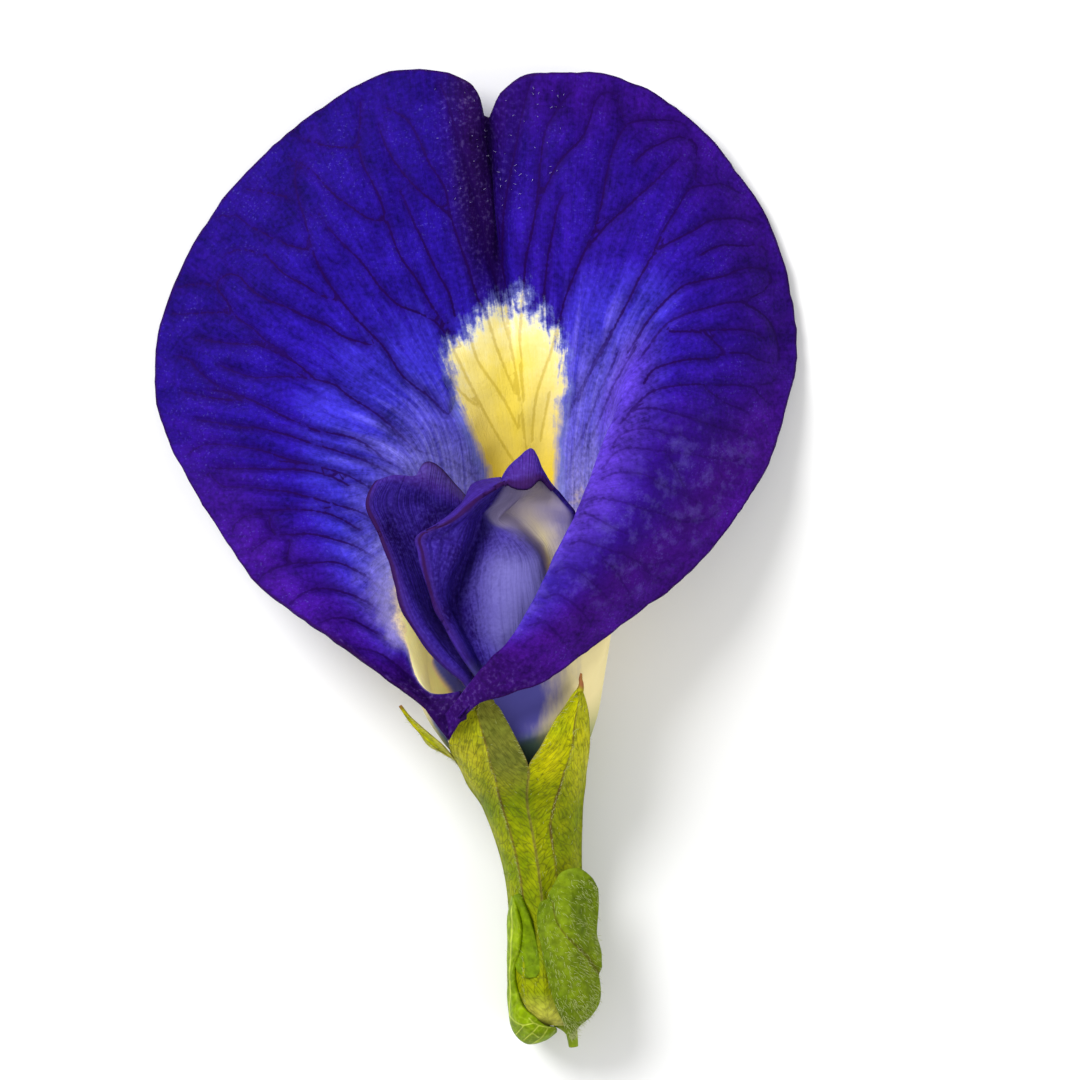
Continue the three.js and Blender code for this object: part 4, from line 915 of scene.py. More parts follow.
WING_RIGHT = [
  [0.0, [[0, 551, 868, 3.5], [1, 551, 868, 2.8]]],
  [0.12, [[0, 546, 800, 4.2], [1, 546, 800, 3.4]]],
  [0.18, [[0, 543, 772, 4.9], [1, 544, 772, 4.1]]],
  [0.25, [[0, 520, 742, 7.0], [0.5, 538, 742, 7.0], [1, 554, 745, 6.0]]],
  [0.34, [[0, 488, 691, 7.7], [0.1, 487, 688, 8.2], [0.35, 495, 690, 7.8], [0.5, 510, 692, 7.8],
    [0.8, 535, 694, 6.9], [1, 548, 692, 5.9]]],
  [0.44, [[0, 464, 655, 8.0], [0.1, 461, 651, 8.7], [0.22, 467, 650, 8.3], [0.35, 476, 654, 7.4],
    [0.5, 505, 655, 8.3], [0.65, 538, 650, 7.6], [0.8, 552, 648, 6.2], [1, 560, 650, 5.0]]],
  [0.54, [[0, 442, 613, 7.8], [0.1, 438, 611, 8.8], [0.22, 446, 604, 8.3], [0.35, 457, 608, 6.5],
    [0.5, 500, 612, 8.5], [0.65, 545, 610, 7.9], [0.8, 558, 603, 5.8], [1, 566, 600, 4.8]]],
  [0.64, [[0, 432, 583, 7.9], [0.1, 428, 580, 9.0], [0.22, 444, 579, 8.4], [0.35, 457, 580, 6.3],
    [0.5, 498, 583, 8.2], [0.65, 541, 581, 7.8], [0.8, 549, 571, 5.4], [1, 568, 565, 4.9]]],
  [0.74, [[0, 425, 553, 8.0], [0.1, 422, 553, 9.1], [0.22, 456, 555, 8.2], [0.35, 467, 553, 6.2],
    [0.5, 500, 556, 7.6], [0.65, 535, 556, 7.4], [0.8, 541, 546, 5.3], [1, 572, 545, 5.3]]],
  [0.82, [[0, 425, 536, 7.8], [0.1, 421, 535, 9.2], [0.22, 462, 539, 8.0], [0.35, 474, 536, 6.2],
    [0.5, 493, 534, 6.7], [0.65, 516, 536, 7.0], [0.8, 522, 524, 5.4], [1, 574, 526, 5.6]]],
  [0.89, [[0, 461, 506, 7.2], [0.1, 455, 518, 8.9], [0.22, 472, 515, 7.9], [0.35, 479, 514, 6.4],
    [0.5, 487, 515, 6.2], [0.65, 496, 520, 6.3], [0.8, 508, 508, 5.4], [1, 575, 513, 6.0]]],
  [0.95, [[0, 474, 485, 6.7], [0.1, 481, 496, 8.2], [0.22, 489, 496, 7.3], [0.35, 494, 495, 6.4],
    [0.5, 502, 494, 5.9], [0.65, 514, 493, 5.7], [0.8, 533, 490, 5.8], [1, 564, 499, 6.3]]],
  [1.0, [[0, 500, 479, 6.5], [0.1, 503, 484, 7.4], [0.22, 508, 477, 6.9], [0.35, 512, 469, 6.7],
    [0.5, 520, 460, 6.6], [0.63, 531, 450, 6.7], [0.8, 540, 469, 6.8], [1, 553, 488, 6.8]]],
]
LOBE_LEFT = [1.06, [[0, 381, 484, 4.8], [0.25, 394, 482, 5.0], [0.45, 418, 481, 4.6],
  [0.56, 427, 465, 4.3], [0.7, 439, 470, 4.2], [0.85, 452, 485, 4.1], [1, 466, 502, 4.0]]]
FLAP_RIGHT = [1.07, [[0, 501, 481, 6.6], [0.1, 504, 485, 7.5], [0.22, 508, 484, 7.5], [0.35, 513, 487, 7.6],
  [0.5, 521, 489, 7.7], [0.63, 530, 488, 7.8], [0.8, 541, 480, 7.5], [1, 553, 490, 7.1]]]
WING_LEFT.append(LOBE_LEFT)
WING_RIGHT.append(FLAP_RIGHT)
print("rows in the wings' nets:", len(WING_LEFT), len(WING_RIGHT))

# %% [markdown]
# A wing is satin: darker than the standard and finely lined. Its bulge has a painted lavender highlight, the
# wall behind it is cream, and the rolled rim is reddish with a dark edge. Each of those is a fact on the
# mesh, so one finish does for both wings.

# %% Finish: wings
WING_FIBRES = (70, 5, 1)  # across and along a wing: about 0.2 mm by 5 mm
WING_CLOUDS = 0.5 / MM  # soft clouds: 2 mm
WALL = [(0.5, "4A4688"), (0.66, "6A6290"), (0.74, "968CA0"), (0.84, "D2C49A"), (0.92, "BAAEAE"),
        (0.98, "6A62A2")]
satin, tree = finish("wing_petal_satin")
where = add(tree, "TexCoord", {}, out="Object")
uv = add(tree, "UVMap", {}, uv_map="petal")
place = add(tree, "SeparateXYZ", {0: uv}).node.outputs
rim, glow, wall = [
    add(tree, "Attribute", {}, out="Fac", attribute_name=fact) for fact in ("rim", "glow", "wall")]
fibre = add(tree, "Mapping", {"Vector": uv, "Scale": WING_FIBRES})
fibre = add(tree, "TexNoise", {"Vector": fibre, "Scale": 1, "Detail": 5})
cloud = add(tree, "TexNoise", {"Vector": where, "Scale": WING_CLOUDS, "Detail": 5})
speck = add(tree, "TexNoise", {"Vector": where, "Scale": GRAIN, "Detail": 2})
shade = add(tree, "Math", {0: speck, 1: 0.6, 2: cloud}, operation="MULTIPLY_ADD")
shade = add(tree, "MapRange", {"Value": shade, "From Min": 0.55, "From Max": 1.05})
horn = add(tree, "MapRange", {"Value": place["Y"], "From Min": 0.98, "From Max": 1.02, "To Max": 0.6})
flicker = add(tree, "MapRange", {"Value": speck, "To Min": -0.25, "To Max": 0.25})
# Glow is a painted lavender highlight on the right wing's bulge, and a little lavender on the left wing's
# lobe
glow = add(tree, "Math", {0: glow, 1: flicker}, operation="ADD", use_clamp=True)
wavy = add(tree, "Math", {0: cloud, 1: 0.5, 2: fibre}, operation="MULTIPLY_ADD")
calm = add(tree, "MapRange", {"Value": glow, "To Min": 0.5, "To Max": 0.08})
lines = add(tree, "MapRange", {"Value": wavy, "From Min": 0.76, "From Max": 0.9, "To Max": calm},
            interpolation_type="SMOOTHSTEP")
faint = add(tree, "MapRange", {"Value": cloud, "To Min": -0.12, "To Max": 0.12})
cream = add(tree, "Math", {0: place["X"], 1: faint}, operation="ADD")
cream = add(tree, "ValToRGB", {"Fac": cream}, stops=WALL)
upper = add(tree, "MapRange", {"Value": place["Y"], "From Min": 0.76, "From Max": 0.9, "To Max": 0.6})
cream = add(tree, "MixRGB", {"Fac": upper, "Color1": cream, "Color2": "A89CBE"})
roll = add(tree, "MapRange", {"Value": rim, "From Min": 2, "From Max": 8, "To Min": 0.5, "To Max": 0},
           interpolation_type="SMOOTHSTEP")
crest = add(tree, "Math", {0: rim}, operation="ABSOLUTE")
crest = add(tree, "MapRange", {"Value": crest, "From Min": 0.4, "From Max": 2.2, "To Min": 0.8,
                               "To Max": 0}, interpolation_type="SMOOTHSTEP")
hem = add(tree, "MapRange", {"Value": place["Y"], "From Min": 1.045, "From Max": 1.058, "To Max": 0.7})
free = add(tree, "MapRange", {"Value": place["Y"], "From Min": 0.45, "From Max": 0.6})
border = add(tree, "Math", {0: crest, 1: free}, operation="MULTIPLY")
border = add(tree, "Math", {0: border, 1: hem}, operation="MAXIMUM")
claw = add(tree, "MapRange", {"Value": place["Y"], "From Min": 0.42, "From Max": 0.3})
base = "1A084C"
for amount, tint in ((shade, "3A2696"), (horn, "4A2A80"), (glow, "6660A4"), (lines, "150646"), (wall, cream),
                     (roll, "3C2478"), (border, "2A0C30"), (claw, "545A80")):
    base = add(tree, "MixRGB", {"Fac": amount, "Color1": base, "Color2": tint})
height = add(tree, "Math", {0: cloud, 1: 0.6, 2: fibre}, operation="MULTIPLY_ADD")
bump = add(tree, "Bump", {"Height": height, "Distance": 0.1 * MM, "Strength": 0.7})
surface(tree, Base_Color=base, Roughness=0.45, Normal=bump, Specular_IOR_Level=SKIN_GLOSS)
print("nodes in the wings' finish:", len(tree.nodes))

# %% Wings
def wing(name, node, net, edge, columns, rows, facts, material):
    """A wing petal. Its rolled rim turns back at s = edge, and rim counts drawing units from there."""
    s = evened(0.0, 1.0, columns, across(net, [0.5, 0.7, 0.9]))
    t = evened(0.0, net[-1][0], rows, along(net, [0.1, 0.4, 0.8]))
    middle = sheet(net, s, t)
    S, T = np.meshgrid(s, t)
    steps = np.linalg.norm(np.diff(to_frame(middle), axis=1), axis=2) / UNIT
    run = np.concatenate([np.zeros((len(t), 1)), np.cumsum(steps, axis=1)], 1)
    rim = run - run[:, [np.searchsorted(s, edge)]]
    given = {fact: field(S, T, middle[..., 0], middle[..., 1]) for fact, field in facts.items()}
    relief = 0.08 * noise_at(middle, 1.2, 5) + 0.12 * noise_at(middle, 3.0, 9)
    points = raised(middle, relief * blend(0.2, 0.5, T))
    piece = grid_piece(name, columns, rows, points, s, t, {"rim": rim, **given})
    piece.data.materials.append(material)
    thicken(piece, PETAL, 0)
    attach(piece, "root")
    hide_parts(node)
    print(name, len(piece.data.vertices), "vertices in one skin")


def bulge(s, t, x, y):
    """1 where the right wing's middle catches the light, down to 0 in the valley beside it."""
    lit = blend(0.36, 0.56, s) * blend(0.36, 0.5, t) * blend(0.94, 0.84, t) * blend(0.8, 0.72, s)
    return lit * (1 - 0.75 * blend(0.68, 0.8, t))


def cream_wall(s, t, x, y):
    """1 on the pale side of the right wing, behind the crescent edge of the bulge."""
    start = np.interp(t, [0.76, 0.84, 0.9, 0.96], [0.67, 0.65, 0.47, 0.4])
    return blend(-0.08, 0.12, s - start) * blend(0.45, 0.55, t) * blend(0.995, 0.975, s) * blend(1, 0.95, t)


def lobe(s, t, x, y):
    """1 on the lobe behind the left wing's rim."""
    return 0.2 * blend(1.0, 1.03, t)


def nowhere(s, t, x, y):
    return 0 * s


left_facts, right_facts = {"glow": lobe, "wall": nowhere}, {"glow": bulge, "wall": cream_wall}
wing("wing_bloom_left", "wing_left", WING_LEFT, 0.08, 110, 190, left_facts, satin)
wing("wing_bloom_right", "wing_right", WING_RIGHT, 0.1, 190, 210, right_facts, satin)

# %% [markdown]
# Behind the wings lies the keel, greenish white, and in it the stamens and the pistil. They hardly
# show from the front, but they are there when the flower is turned.

# %% Keel
KEEL = [
  [0.0, [[-1, 538, 868, 4.0], [0, 542, 868, 4.05], [1, 546, 868, 4.0]]],
  [0.2, [[-1, 526, 800, 4.65], [0, 533, 800, 4.8], [1, 540, 800, 4.65]]],
  [0.28, [[-1, 517, 772, 4.5], [0, 525, 772, 5.0], [1, 533, 772, 4.5]]],
  [0.4, [[-1, 504, 740, 3.9], [-0.5, 508, 740, 4.7], [0, 521, 740, 5.1], [0.5, 534, 740, 4.7],
    [1, 538, 740, 3.9]]],
  [0.6, [[-1, 486, 690, 2.5], [-0.5, 491, 690, 3.9], [0, 520, 688, 4.8], [0.5, 549, 690, 4.0],
    [1, 554, 690, 2.6]]],
  [0.8, [[-1, 488, 640, 1.8], [-0.5, 492, 637, 3.0], [0, 523, 634, 4.2], [0.5, 555, 637, 3.2],
    [1, 559, 640, 2.0]]],
  [0.93, [[-1, 500, 605, 1.6], [-0.5, 504, 600, 2.5], [0, 526, 596, 3.4], [0.5, 548, 600, 2.7],
    [1, 552, 605, 1.7]]],
  [1.0, [[-1, 516, 590, 1.6], [-0.5, 520, 587, 1.9], [0, 528, 584, 2.2], [0.5, 536, 587, 2.0],
    [1, 540, 590, 1.7]]],
]


def soft_flesh(name, first, second, size, roughness):
    """Living tissue in two close shades, mottled at a size in mm."""
    material, tree = finish(name)
    where = add(tree, "TexCoord", {}, out="Object")
    mottle = add(tree, "TexNoise", {"Vector": where, "Scale": 1 / (size * MM), "Detail": 4})
    strong = add(tree, "MapRange", {"Value": mottle, "From Min": 0.3, "From Max": 0.7})
    base = add(tree, "MixRGB", {"Fac": strong, "Color1": first, "Color2": second})
    bump = add(tree, "Bump", {"Height": mottle, "Distance": 0.00005, "Strength": 0.5})
    surface(tree, Base_Color=base, Roughness=roughness, Normal=bump, Specular_IOR_Level=0.1)
    return material


s = np.linspace(-1, 1, 41)
t = np.linspace(0, 1, 61)
middle = sheet(KEEL, s, t)
keel = grid_piece("keel_bloom", 40, 60, raised(middle, 0.05 * noise_at(middle, 1.0, 2)), s, t, {})
keel.data.materials.append(soft_flesh("keel_petal_greenish_white", "E6E8CC", "D3DBAE", 0.8, 0.5))
thicken(keel, PETAL, 0)
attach(keel, "root")
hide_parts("keel")
print("keel:", len(keel.data.vertices), "vertices in one skin")


# %% [markdown]
# A filament, a style or a stalk is a round rod. A grid is wrapped round its middle line, its long
# edges meet in a seam and its end rows shrink to a point, and merging the doubles closes it.

# %% Rods
def rod_mesh(points, sides, steps):
    """A closed round mesh round [x, y, z, radius in mm] points."""
    p = np.array(points, float)
    knots = np.linspace(0, 1, len(p))
    v = np.linspace(0, 1, steps + 1)
    line = spline(knots, p, v)
    middle = to_frame(line[:, :3])
    forward = np.gradient(middle, axis=0)
    forward /= np.linalg.norm(forward, axis=1, keepdims=True)
    right = np.cross((0, 0, 1.0), forward)
    right /= np.linalg.norm(right, axis=1, keepdims=True)
    up = np.cross(forward, right)
    middle, right, up = [np.concatenate([a[:1], a, a[-1:]]) for a in (middle, right, up)]
    radius = np.concatenate([[0], np.maximum(line[:, 3], 0.01) * MM, [0]])
    bm = bmesh.new()
    bmesh.ops.create_grid(bm, x_segments=sides, y_segments=steps + 2, size=0.5)
    for vertex in bm.verts:
        angle = round((vertex.co.x + 0.5) * sides) / sides * 2 * math.pi
        k = round((vertex.co.y + 0.5) * (steps + 2))
        place = middle[k] + radius[k] * (math.cos(angle) * right[k] + math.sin(angle) * up[k])
        vertex.co = Vector(place)
    bmesh.ops.remove_doubles(bm, verts=bm.verts, dist=1e-7)
    bmesh.ops.recalc_face_normals(bm, faces=bm.faces)
    mesh = bpy.data.meshes.new("rod")
    bm.to_mesh(mesh)
    bm.free()
    mesh.shade_smooth()
    return mesh


def gathered(name, meshes):
    """One object from several meshes."""
    bm = bmesh.new()
    for mesh in meshes:
        bm.from_mesh(mesh)
        bpy.data.meshes.remove(mesh)
    whole = bpy.data.meshes.new(name)
    bm.to_mesh(whole)
    bm.free()
    whole.shade_smooth()
    return put(name, whole)


# %% Stamens
SHEATH = [
  [0.0, [[-1, 539, 868, 3.25], [0, 542, 868, 3.28], [1, 545, 868, 3.25]]],
  [0.3, [[-1, 530, 800, 3.8], [0, 533, 800, 3.85], [1, 536, 800, 3.8]]],
  [0.55, [[-1, 514, 740, 3.2], [-0.5, 516, 740, 3.7], [0, 521, 740, 4.0], [0.5, 526, 740, 3.7],
    [1, 528, 740, 3.2]]],
  [1.0, [[-1, 508, 690, 2.9], [-0.5, 511, 690, 3.5], [0, 521, 690, 3.85], [0.5, 531, 690, 3.5],
    [1, 534, 690, 2.9]]],
]
FILAMENTS = 9
ANTHER = [(9, 0.1), (4, 0.21), (0, 0.2), (-5, 0.06)]  # drawing units below its middle, radius in mm
ANTHER_X, ANTHER_Y, ANTHER_Z, ANTHER_SPREAD, ANTHER_STAGGER = 524, 640, 2.75, 22, 9
s = np.linspace(-1, 1, 21)
t = np.linspace(0, 1, 41)
sheath = grid_piece("sheath", 20, 40, sheet(SHEATH, s, t), s, t, {})
thicken(sheath, 0.3, 0)
solid = bpy.data.meshes.new_from_object(sheath.evaluated_get(bpy.context.evaluated_depsgraph_get()))
bpy.data.objects.remove(sheath)
rods = [solid]
for k, place in enumerate(np.linspace(-1, 1, FILAMENTS)):
    x, y, z = spline([p[0] for p in SHEATH[-1][1]], [p[1:] for p in SHEATH[-1][1]], [place])[0]
    tip_x = ANTHER_X + place * ANTHER_SPREAD
    tip_y = ANTHER_Y + (k % 2) * ANTHER_STAGGER
    tip_z = ANTHER_Z + (z - 2.9) * 0.9
    filament = [[x, y + 12, z, 0.09], [x, y - 10, z, 0.09], [tip_x, tip_y + 10, tip_z, 0.07]]
    anther = [[tip_x, tip_y + below, tip_z, radius] for below, radius in ANTHER]
    rods += [rod_mesh(filament, 8, 12), rod_mesh(anther, 10, 10)]
stamens = gathered("stamens_bloom", rods)
stamens.data.materials.append(soft_flesh("stamen_tissue_cream", "F0E8BE", "E0D094", 0.5, 0.6))
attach(stamens, "root")
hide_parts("stamens")

# %% Pistil
PISTIL = [
  [542, 868, 2.6, 0.2], [533, 800, 2.7, 0.22], [522, 750, 2.75, 0.3], [520, 715, 2.6, 0.35],
  [521, 680, 2.4, 0.28], [524, 640, 2.4, 0.2], [528, 612, 2.5, 0.18],
]
pistil = gathered("pistil_bloom", [rod_mesh(PISTIL, 16, 60)])
pistil.data.materials.append(soft_flesh("ovary_tissue_pale_green", "B4C06A", "8FA548", 0.4, 0.6))
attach(pistil, "root")
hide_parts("pistil")
print("stamens and pistil:", len(stamens.data.polygons), len(pistil.data.polygons), "faces")

# %% [markdown]
# Fine pale hairs cover the sepals' edges, their ribs and the matt bracteole, and a few stand at the
# notch. A hair is a thin cone with three sides. Its root stands on the skin, and it leans towards the
# tip of the leaf. The seed of the random draw is fixed, so the hairs are the same each time.

# %% Hairs
HAIR_ROOT, HAIR_TIP = 0.011 * MM, 0.003 * MM  # radii
NOTCH_HAIRS, SEPAL_HAIRS, LEAF_HAIRS = 70, 260, 900
draw = np.random.default_rng(12)


def hairs(name, node, roots, ways, lengths, material):
    """Hairs in metres: their roots, the ways they point and their lengths."""
    bm = bmesh.new()
    for root, way, length in zip(roots, ways, lengths):
        way = Vector(way).normalized()
        turned = way.to_track_quat("Z", "Y").to_matrix().to_4x4()
        place = Matrix.Translation(Vector(root) + way * length / 2) @ turned
        bmesh.ops.create_cone(bm, cap_ends=True, segments=3, radius1=HAIR_ROOT, radius2=HAIR_TIP,
                              depth=length, matrix=place)
    mesh = bpy.data.meshes.new(name)
    bm.to_mesh(mesh)
    bm.free()
    piece = put(name, mesh)
    piece.data.materials.append(material)
    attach(piece, "root")
    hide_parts(node)
    print(name, len(roots), "hairs")


def on_sheet(points, rows, columns):
    """Roots, normals and the way to the tip at places of a sheet, in metres."""
    p = to_frame(points)
    n = normals(points)
    up = np.gradient(p, axis=0)
    up /= np.maximum(np.linalg.norm(up, axis=2, keepdims=True), 1e-9)
    return p[rows, columns], n[rows, columns], up[rows, columns]


rows, columns = draw.integers(ROWS - 20, ROWS - 1, NOTCH_HAIRS), draw.choice(near_notch, NOTCH_HAIRS)
root, n, up = on_sheet(petal_points, rows, columns)
ways = n + 0.5 * draw.standard_normal((NOTCH_HAIRS, 3))
lengths = (0.1 + 0.1 * draw.random(NOTCH_HAIRS)) * MM
petal_hair = soft_flesh("petal_hair_pale", "A8A0CC", "C4BEDC", 0.3, 0.6)
hairs("notch_hairs", "standard_petal", root, ways, lengths, petal_hair)
hair_skin = soft_flesh("leaf_hair_pale", "A8B06C", "B8BC86", 0.3, 0.6)

# %% [markdown]
# The calyx is a ribbed tube that parts into five sepals. Each sepal's grid runs from the base of the
# tube to its tip. Up to the mouth the grids share their edges, so merging the doubles makes one tube.
# The ribs are raised in the mesh: one down the middle of each sepal, and one where two sepals meet.

# %% Calyx: nets
TUBE = [
  [0.0, 552, 1025, 2.9, 1.1],
  [0.04, 551, 1017, 2.9, 1.95],
  [0.15, 549, 985, 2.9, 2.25],
  [0.35, 547, 915, 2.9, 2.05],
  [0.5, 542, 864, 3.0, 2.15],
  [0.68, 533, 808, 3.6, 2.72],
  [0.77, 527, 786, 4.15, 3.17],
  [0.85, 523, 766, 4.7, 3.62],
]
MOUTH = 0.85  # v where the sepals part
LEAF = 0.25  # thickness of sepals and bracteoles in mm
# Each sepal: the degrees of the tube that it takes, from the back towards +x, and its free lobe
SEPALS = [
  (27, 87, [
    [0.92, [[-1, 530, 740, 0.3], [0, 557, 735, 0.8], [1, 588, 738, 2.4]]],
    [0.97, [[-1, 542, 716, 0.3], [0, 562, 712, 0.5], [1, 578, 716, 1.2]]],
    [1.0, [[-1, 556, 702, 0.3], [0, 563, 698, 0.4], [1, 569, 702, 0.6]]]]),
  (87, 175, [
    [0.92, [[-1, 590, 741, 7.1], [-0.4, 581, 739, 8.0], [0.2, 563, 740, 8.8], [1, 541, 746, 9.3]]],
    [0.97, [[-1, 589, 715, 7.5], [-0.4, 583, 711, 8.1], [0.2, 573, 712, 8.8], [1, 556, 718, 9.3]]],
    [1.0, [[-1, 586, 700, 8.2], [-0.4, 582.5, 697, 8.5], [0.2, 577.5, 697, 8.8], [1, 569, 702, 9.1]]]]),
  (175, 267, [
    [0.92, [[-1, 517, 739, 9.5], [-0.4, 500, 737, 9.5], [0.2, 476, 736, 9.1], [1, 449, 743, 7.9]]],
    [0.97, [[-1, 505, 716, 9.6], [-0.4, 493, 712, 9.7], [0.2, 478, 712, 9.6], [1, 460, 720, 9.1]]],
    [1.0, [[-1, 497, 704, 9.7], [-0.4, 490, 701, 9.75], [0.2, 482, 703, 9.75], [1, 473, 708, 9.6]]]]),
  (267, 327, [
    [0.92, [[-1, 444, 746, 7.8], [0, 438, 747, 6.7], [1, 434, 749, 5.4]]],
    [0.97, [[-1, 422, 727, 7.6], [0, 419, 729, 6.9], [1, 418, 731, 6.2]]],
    [1.0, [[-1, 410, 716, 7.3], [0, 409, 717, 7.0], [1, 408.5, 719, 6.7]]]]),
  (327, 387, [
    [0.92, [[-1, 456, 738, 1.6], [0, 482, 735, 0.7], [1, 506, 740, 0.3]]],
    [0.97, [[-1, 464, 716, 0.6], [0, 478, 712, 0.3], [1, 492, 716, 0.3]]],
    [1.0, [[-1, 468, 702, 0.4], [0, 474, 698, 0.3], [1, 480, 702, 0.3]]]]),
]
# Each sepal's midrib: v along it, and s of the midrib there
MIDRIBS = [
    ([0, 1], [0, 0]),
    ([0, 0.5, 0.62, 0.68, 0.77, 0.85, 0.92, 0.97, 1.0],
     [0.42, 0.42, 0.46, 0.33, 0.22, 0.2, -0.08, 0.1, 0.17]),
    ([0, 0.7, 0.85, 0.92, 0.97, 1.0], [-0.33, -0.33, -0.27, -0.02, 0.2, 0.5]),
    ([0, 1], [0, 0]),
    ([0, 1], [0, 0]),
]
# How much painted olive shade each sepal has on the first and the second side of its midrib
OLIVE_SHADE = [(0.3, 0.3), (0.2, 0.0), (1.0, 0.3), (0.1, 0.1), (0.3, 0.3)]
# Each sepal ends in a bristle: one or two more rows narrow its lobe to a point
TIPS = [
    [[1.04, [[-1, 562, 688, 0.5], [0, 563, 687, 0.5], [1, 564, 688, 0.5]]]],
    [[1.02, [[-1, 582.8, 690, 8.6], [-0.4, 581.5, 688, 8.8], [0.2, 580.2, 688, 8.8], [1, 578.5, 691, 8.9]]],
     [1.035, [[-1, 581.5, 682, 8.8], [-0.4, 581.2, 681, 8.9], [0.2, 580.9, 681, 8.9],
              [1, 580.6, 683, 8.9]]],
     [1.05, [[-1, 581.5, 674, 8.9], [-0.4, 581.3, 673, 8.9], [0.2, 581.1, 673, 8.9], [1, 581, 674, 8.9]]]],
    [[1.04, [[-1, 479, 696, 9.9], [-0.4, 478, 695, 9.9], [0.2, 477.5, 695, 9.9], [1, 477, 696, 9.9]]]],
    [[1.03, [[-1, 401.3, 705, 7.4], [0, 401, 705, 7.3], [1, 400.8, 705.5, 7.2]]]],
    [[1.04, [[-1, 473, 690, 0.5], [0, 474, 689, 0.5], [1, 475, 690, 0.5]]]],
]
for (_, _, lobe), tip in zip(SEPALS, TIPS):
    lobe.extend(tip)
print("sepals:", len(SEPALS))


# %% Calyx: shape
TWIST = 11
RIB = 0.12  # height of a rib in mm
RIB_WIDTH, SEAM_WIDTH = 0.22, 0.2  # in mm


def twist(v):
    """Degrees by which the tube's ribs turn between its mouth and its base."""
    return TWIST * (1 - blend(0.66, 0.86, v))


def tube_at(v, degrees):
    """Drawing points on the tube's skin at v and an angle."""
    x, y, z, radius = spline([p[0] for p in TUBE], [p[1:] for p in TUBE], v).T
    angle = np.radians(degrees)
    out = radius * MM
    return np.stack([x + np.sin(angle) * out / UNIT, y + 0 * angle, z - np.cos(angle) * out / MM], -1)


def sepal_points(index, s, v):
    """Drawing points of one sepal's middle sheet, from the base of the tube to its tip."""
    start, end, lobe = SEPALS[index]
    angle = start + (end - start) * (s + 1) / 2
    S, V = np.meshgrid(s, v)
    A, _ = np.meshgrid(angle, v)
    tube = tube_at(np.minimum(V, MOUTH).ravel(), (A + twist(V)).ravel()).reshape(S.shape + (3,))
    spots = np.array([-1, -0.5, 0, 0.5, 1])
    ring = [[level, [[a, *tube_at(np.array([level]), start + (end - start) * (a + 1) / 2 + twist(level))[0]]
                     for a in spots]] for level in (0.77, MOUTH)]
    free = sheet(ring + lobe, s, np.maximum(v, 0.77))
    return np.where((V <= MOUTH)[..., None], tube, free)


def sepal(index, columns, rows):
    s = np.linspace(-1, 1, columns + 1)
    top = SEPALS[index][2][-1][0]
    v = np.concatenate([np.linspace(0, MOUTH, rows), np.linspace(MOUTH, top, rows // 2)[1:]])
    points = sepal_points(index, s, v)
    S, V = np.meshgrid(s, v)
    line = spline(*MIDRIBS[index], np.minimum(v, 1))[:, None]
    start, end, _ = SEPALS[index]
    _, _, _, radius = spline([p[0] for p in TUBE], [p[1:] for p in TUBE], np.minimum(v, MOUTH)).T
    width = radius[:, None] * math.radians(end - start) / 2
    to_rib = np.abs(S - line) * width
    to_seam = (1 - np.abs(S)) * width
    height = RIB * np.exp(-(to_rib / RIB_WIDTH) ** 2)
    height += RIB * np.exp(-(to_seam / SEAM_WIDTH) ** 2) * blend(MOUTH, MOUTH - 0.08, V)
    height *= blend(0.0, 0.2, V)
    return points, s, v, height, to_rib, to_seam


COLUMNS_SEPAL, ROWS_SEPAL = 44, 144
HAIRY = (1, 2, 3)  # the sepals that face the viewer
SIDE_VIEW = 3  # the sepal that is seen from its side keeps its thickness
pieces, hair_roots, hair_ways = [], [], []
for index in range(len(SEPALS)):
    points, s, v, height, to_rib, to_seam = sepal(index, COLUMNS_SEPAL, ROWS_SEPAL)
    points = raised(points, -height)
    points[..., 2] = np.maximum(points[..., 2], LEAF)
    first, second = OLIVE_SHADE[index]
    midrib = spline(*MIDRIBS[index], np.minimum(v, 1))
    beyond = s[None] > midrib[:, None]
    to_tip = np.hypot(*(points[-1, 0] - points)[..., :2].T).T * UNIT / MM
    edge = blend(0, 0.5, to_seam) * blend(0, 1.6, to_tip)
    thin = np.where(v[:, None] > MOUTH, np.minimum(1, 0.25 + 0.75 * edge * (index != SIDE_VIEW)), 1.0)
    facts = {"rib": to_rib, "seam": to_seam, "olive_shade": np.where(beyond, second, first), "thin": thin}
    if index in HAIRY:
        rows = draw.integers(8, len(v) - 12, SEPAL_HAIRS)
        anywhere = draw.random(SEPAL_HAIRS) < 0.35
        columns = np.where(anywhere, draw.integers(0, COLUMNS_SEPAL + 1, SEPAL_HAIRS), COLUMNS_SEPAL // 2)
        at_edge = (v[rows] > MOUTH) & (draw.random(SEPAL_HAIRS) < 0.6)
        columns = np.where(at_edge, np.where(draw.random(SEPAL_HAIRS) < 0.5, 0, COLUMNS_SEPAL), columns)
        rib_column = np.abs(s[None] - midrib[:, None]).argmin(1)
        columns = np.where(columns == COLUMNS_SEPAL // 2, rib_column[rows], columns)
        root, n, up = on_sheet(points, rows, columns)
        outside = 1 * (columns == COLUMNS_SEPAL) - (columns == 0)
        sideways = outside[:, None] * np.cross(up, n)
        lean = 0.35 + 0.5 * draw.random((SEPAL_HAIRS, 1))
        stray = 0.25 * draw.standard_normal((SEPAL_HAIRS, 3))
        hair_roots.append(root)
        hair_ways.append(-n * lean + up * 0.9 - sideways * 0.8 + stray)
    pieces.append(grid_piece("sepal", COLUMNS_SEPAL, len(v) - 1, points, s, v, facts))
print("sepal grids:", len(pieces), "of", len(pieces[0].data.polygons), "faces")


# %% [markdown]
# A sepal is soft green tissue under fine hairs, yellow-green where the tube is lit and olive on the
# lobes in shade. Its small veins are a Voronoi net whose cells slant away from the midrib. The midrib
# is a broken brown line, and the base of the tube is whitish.

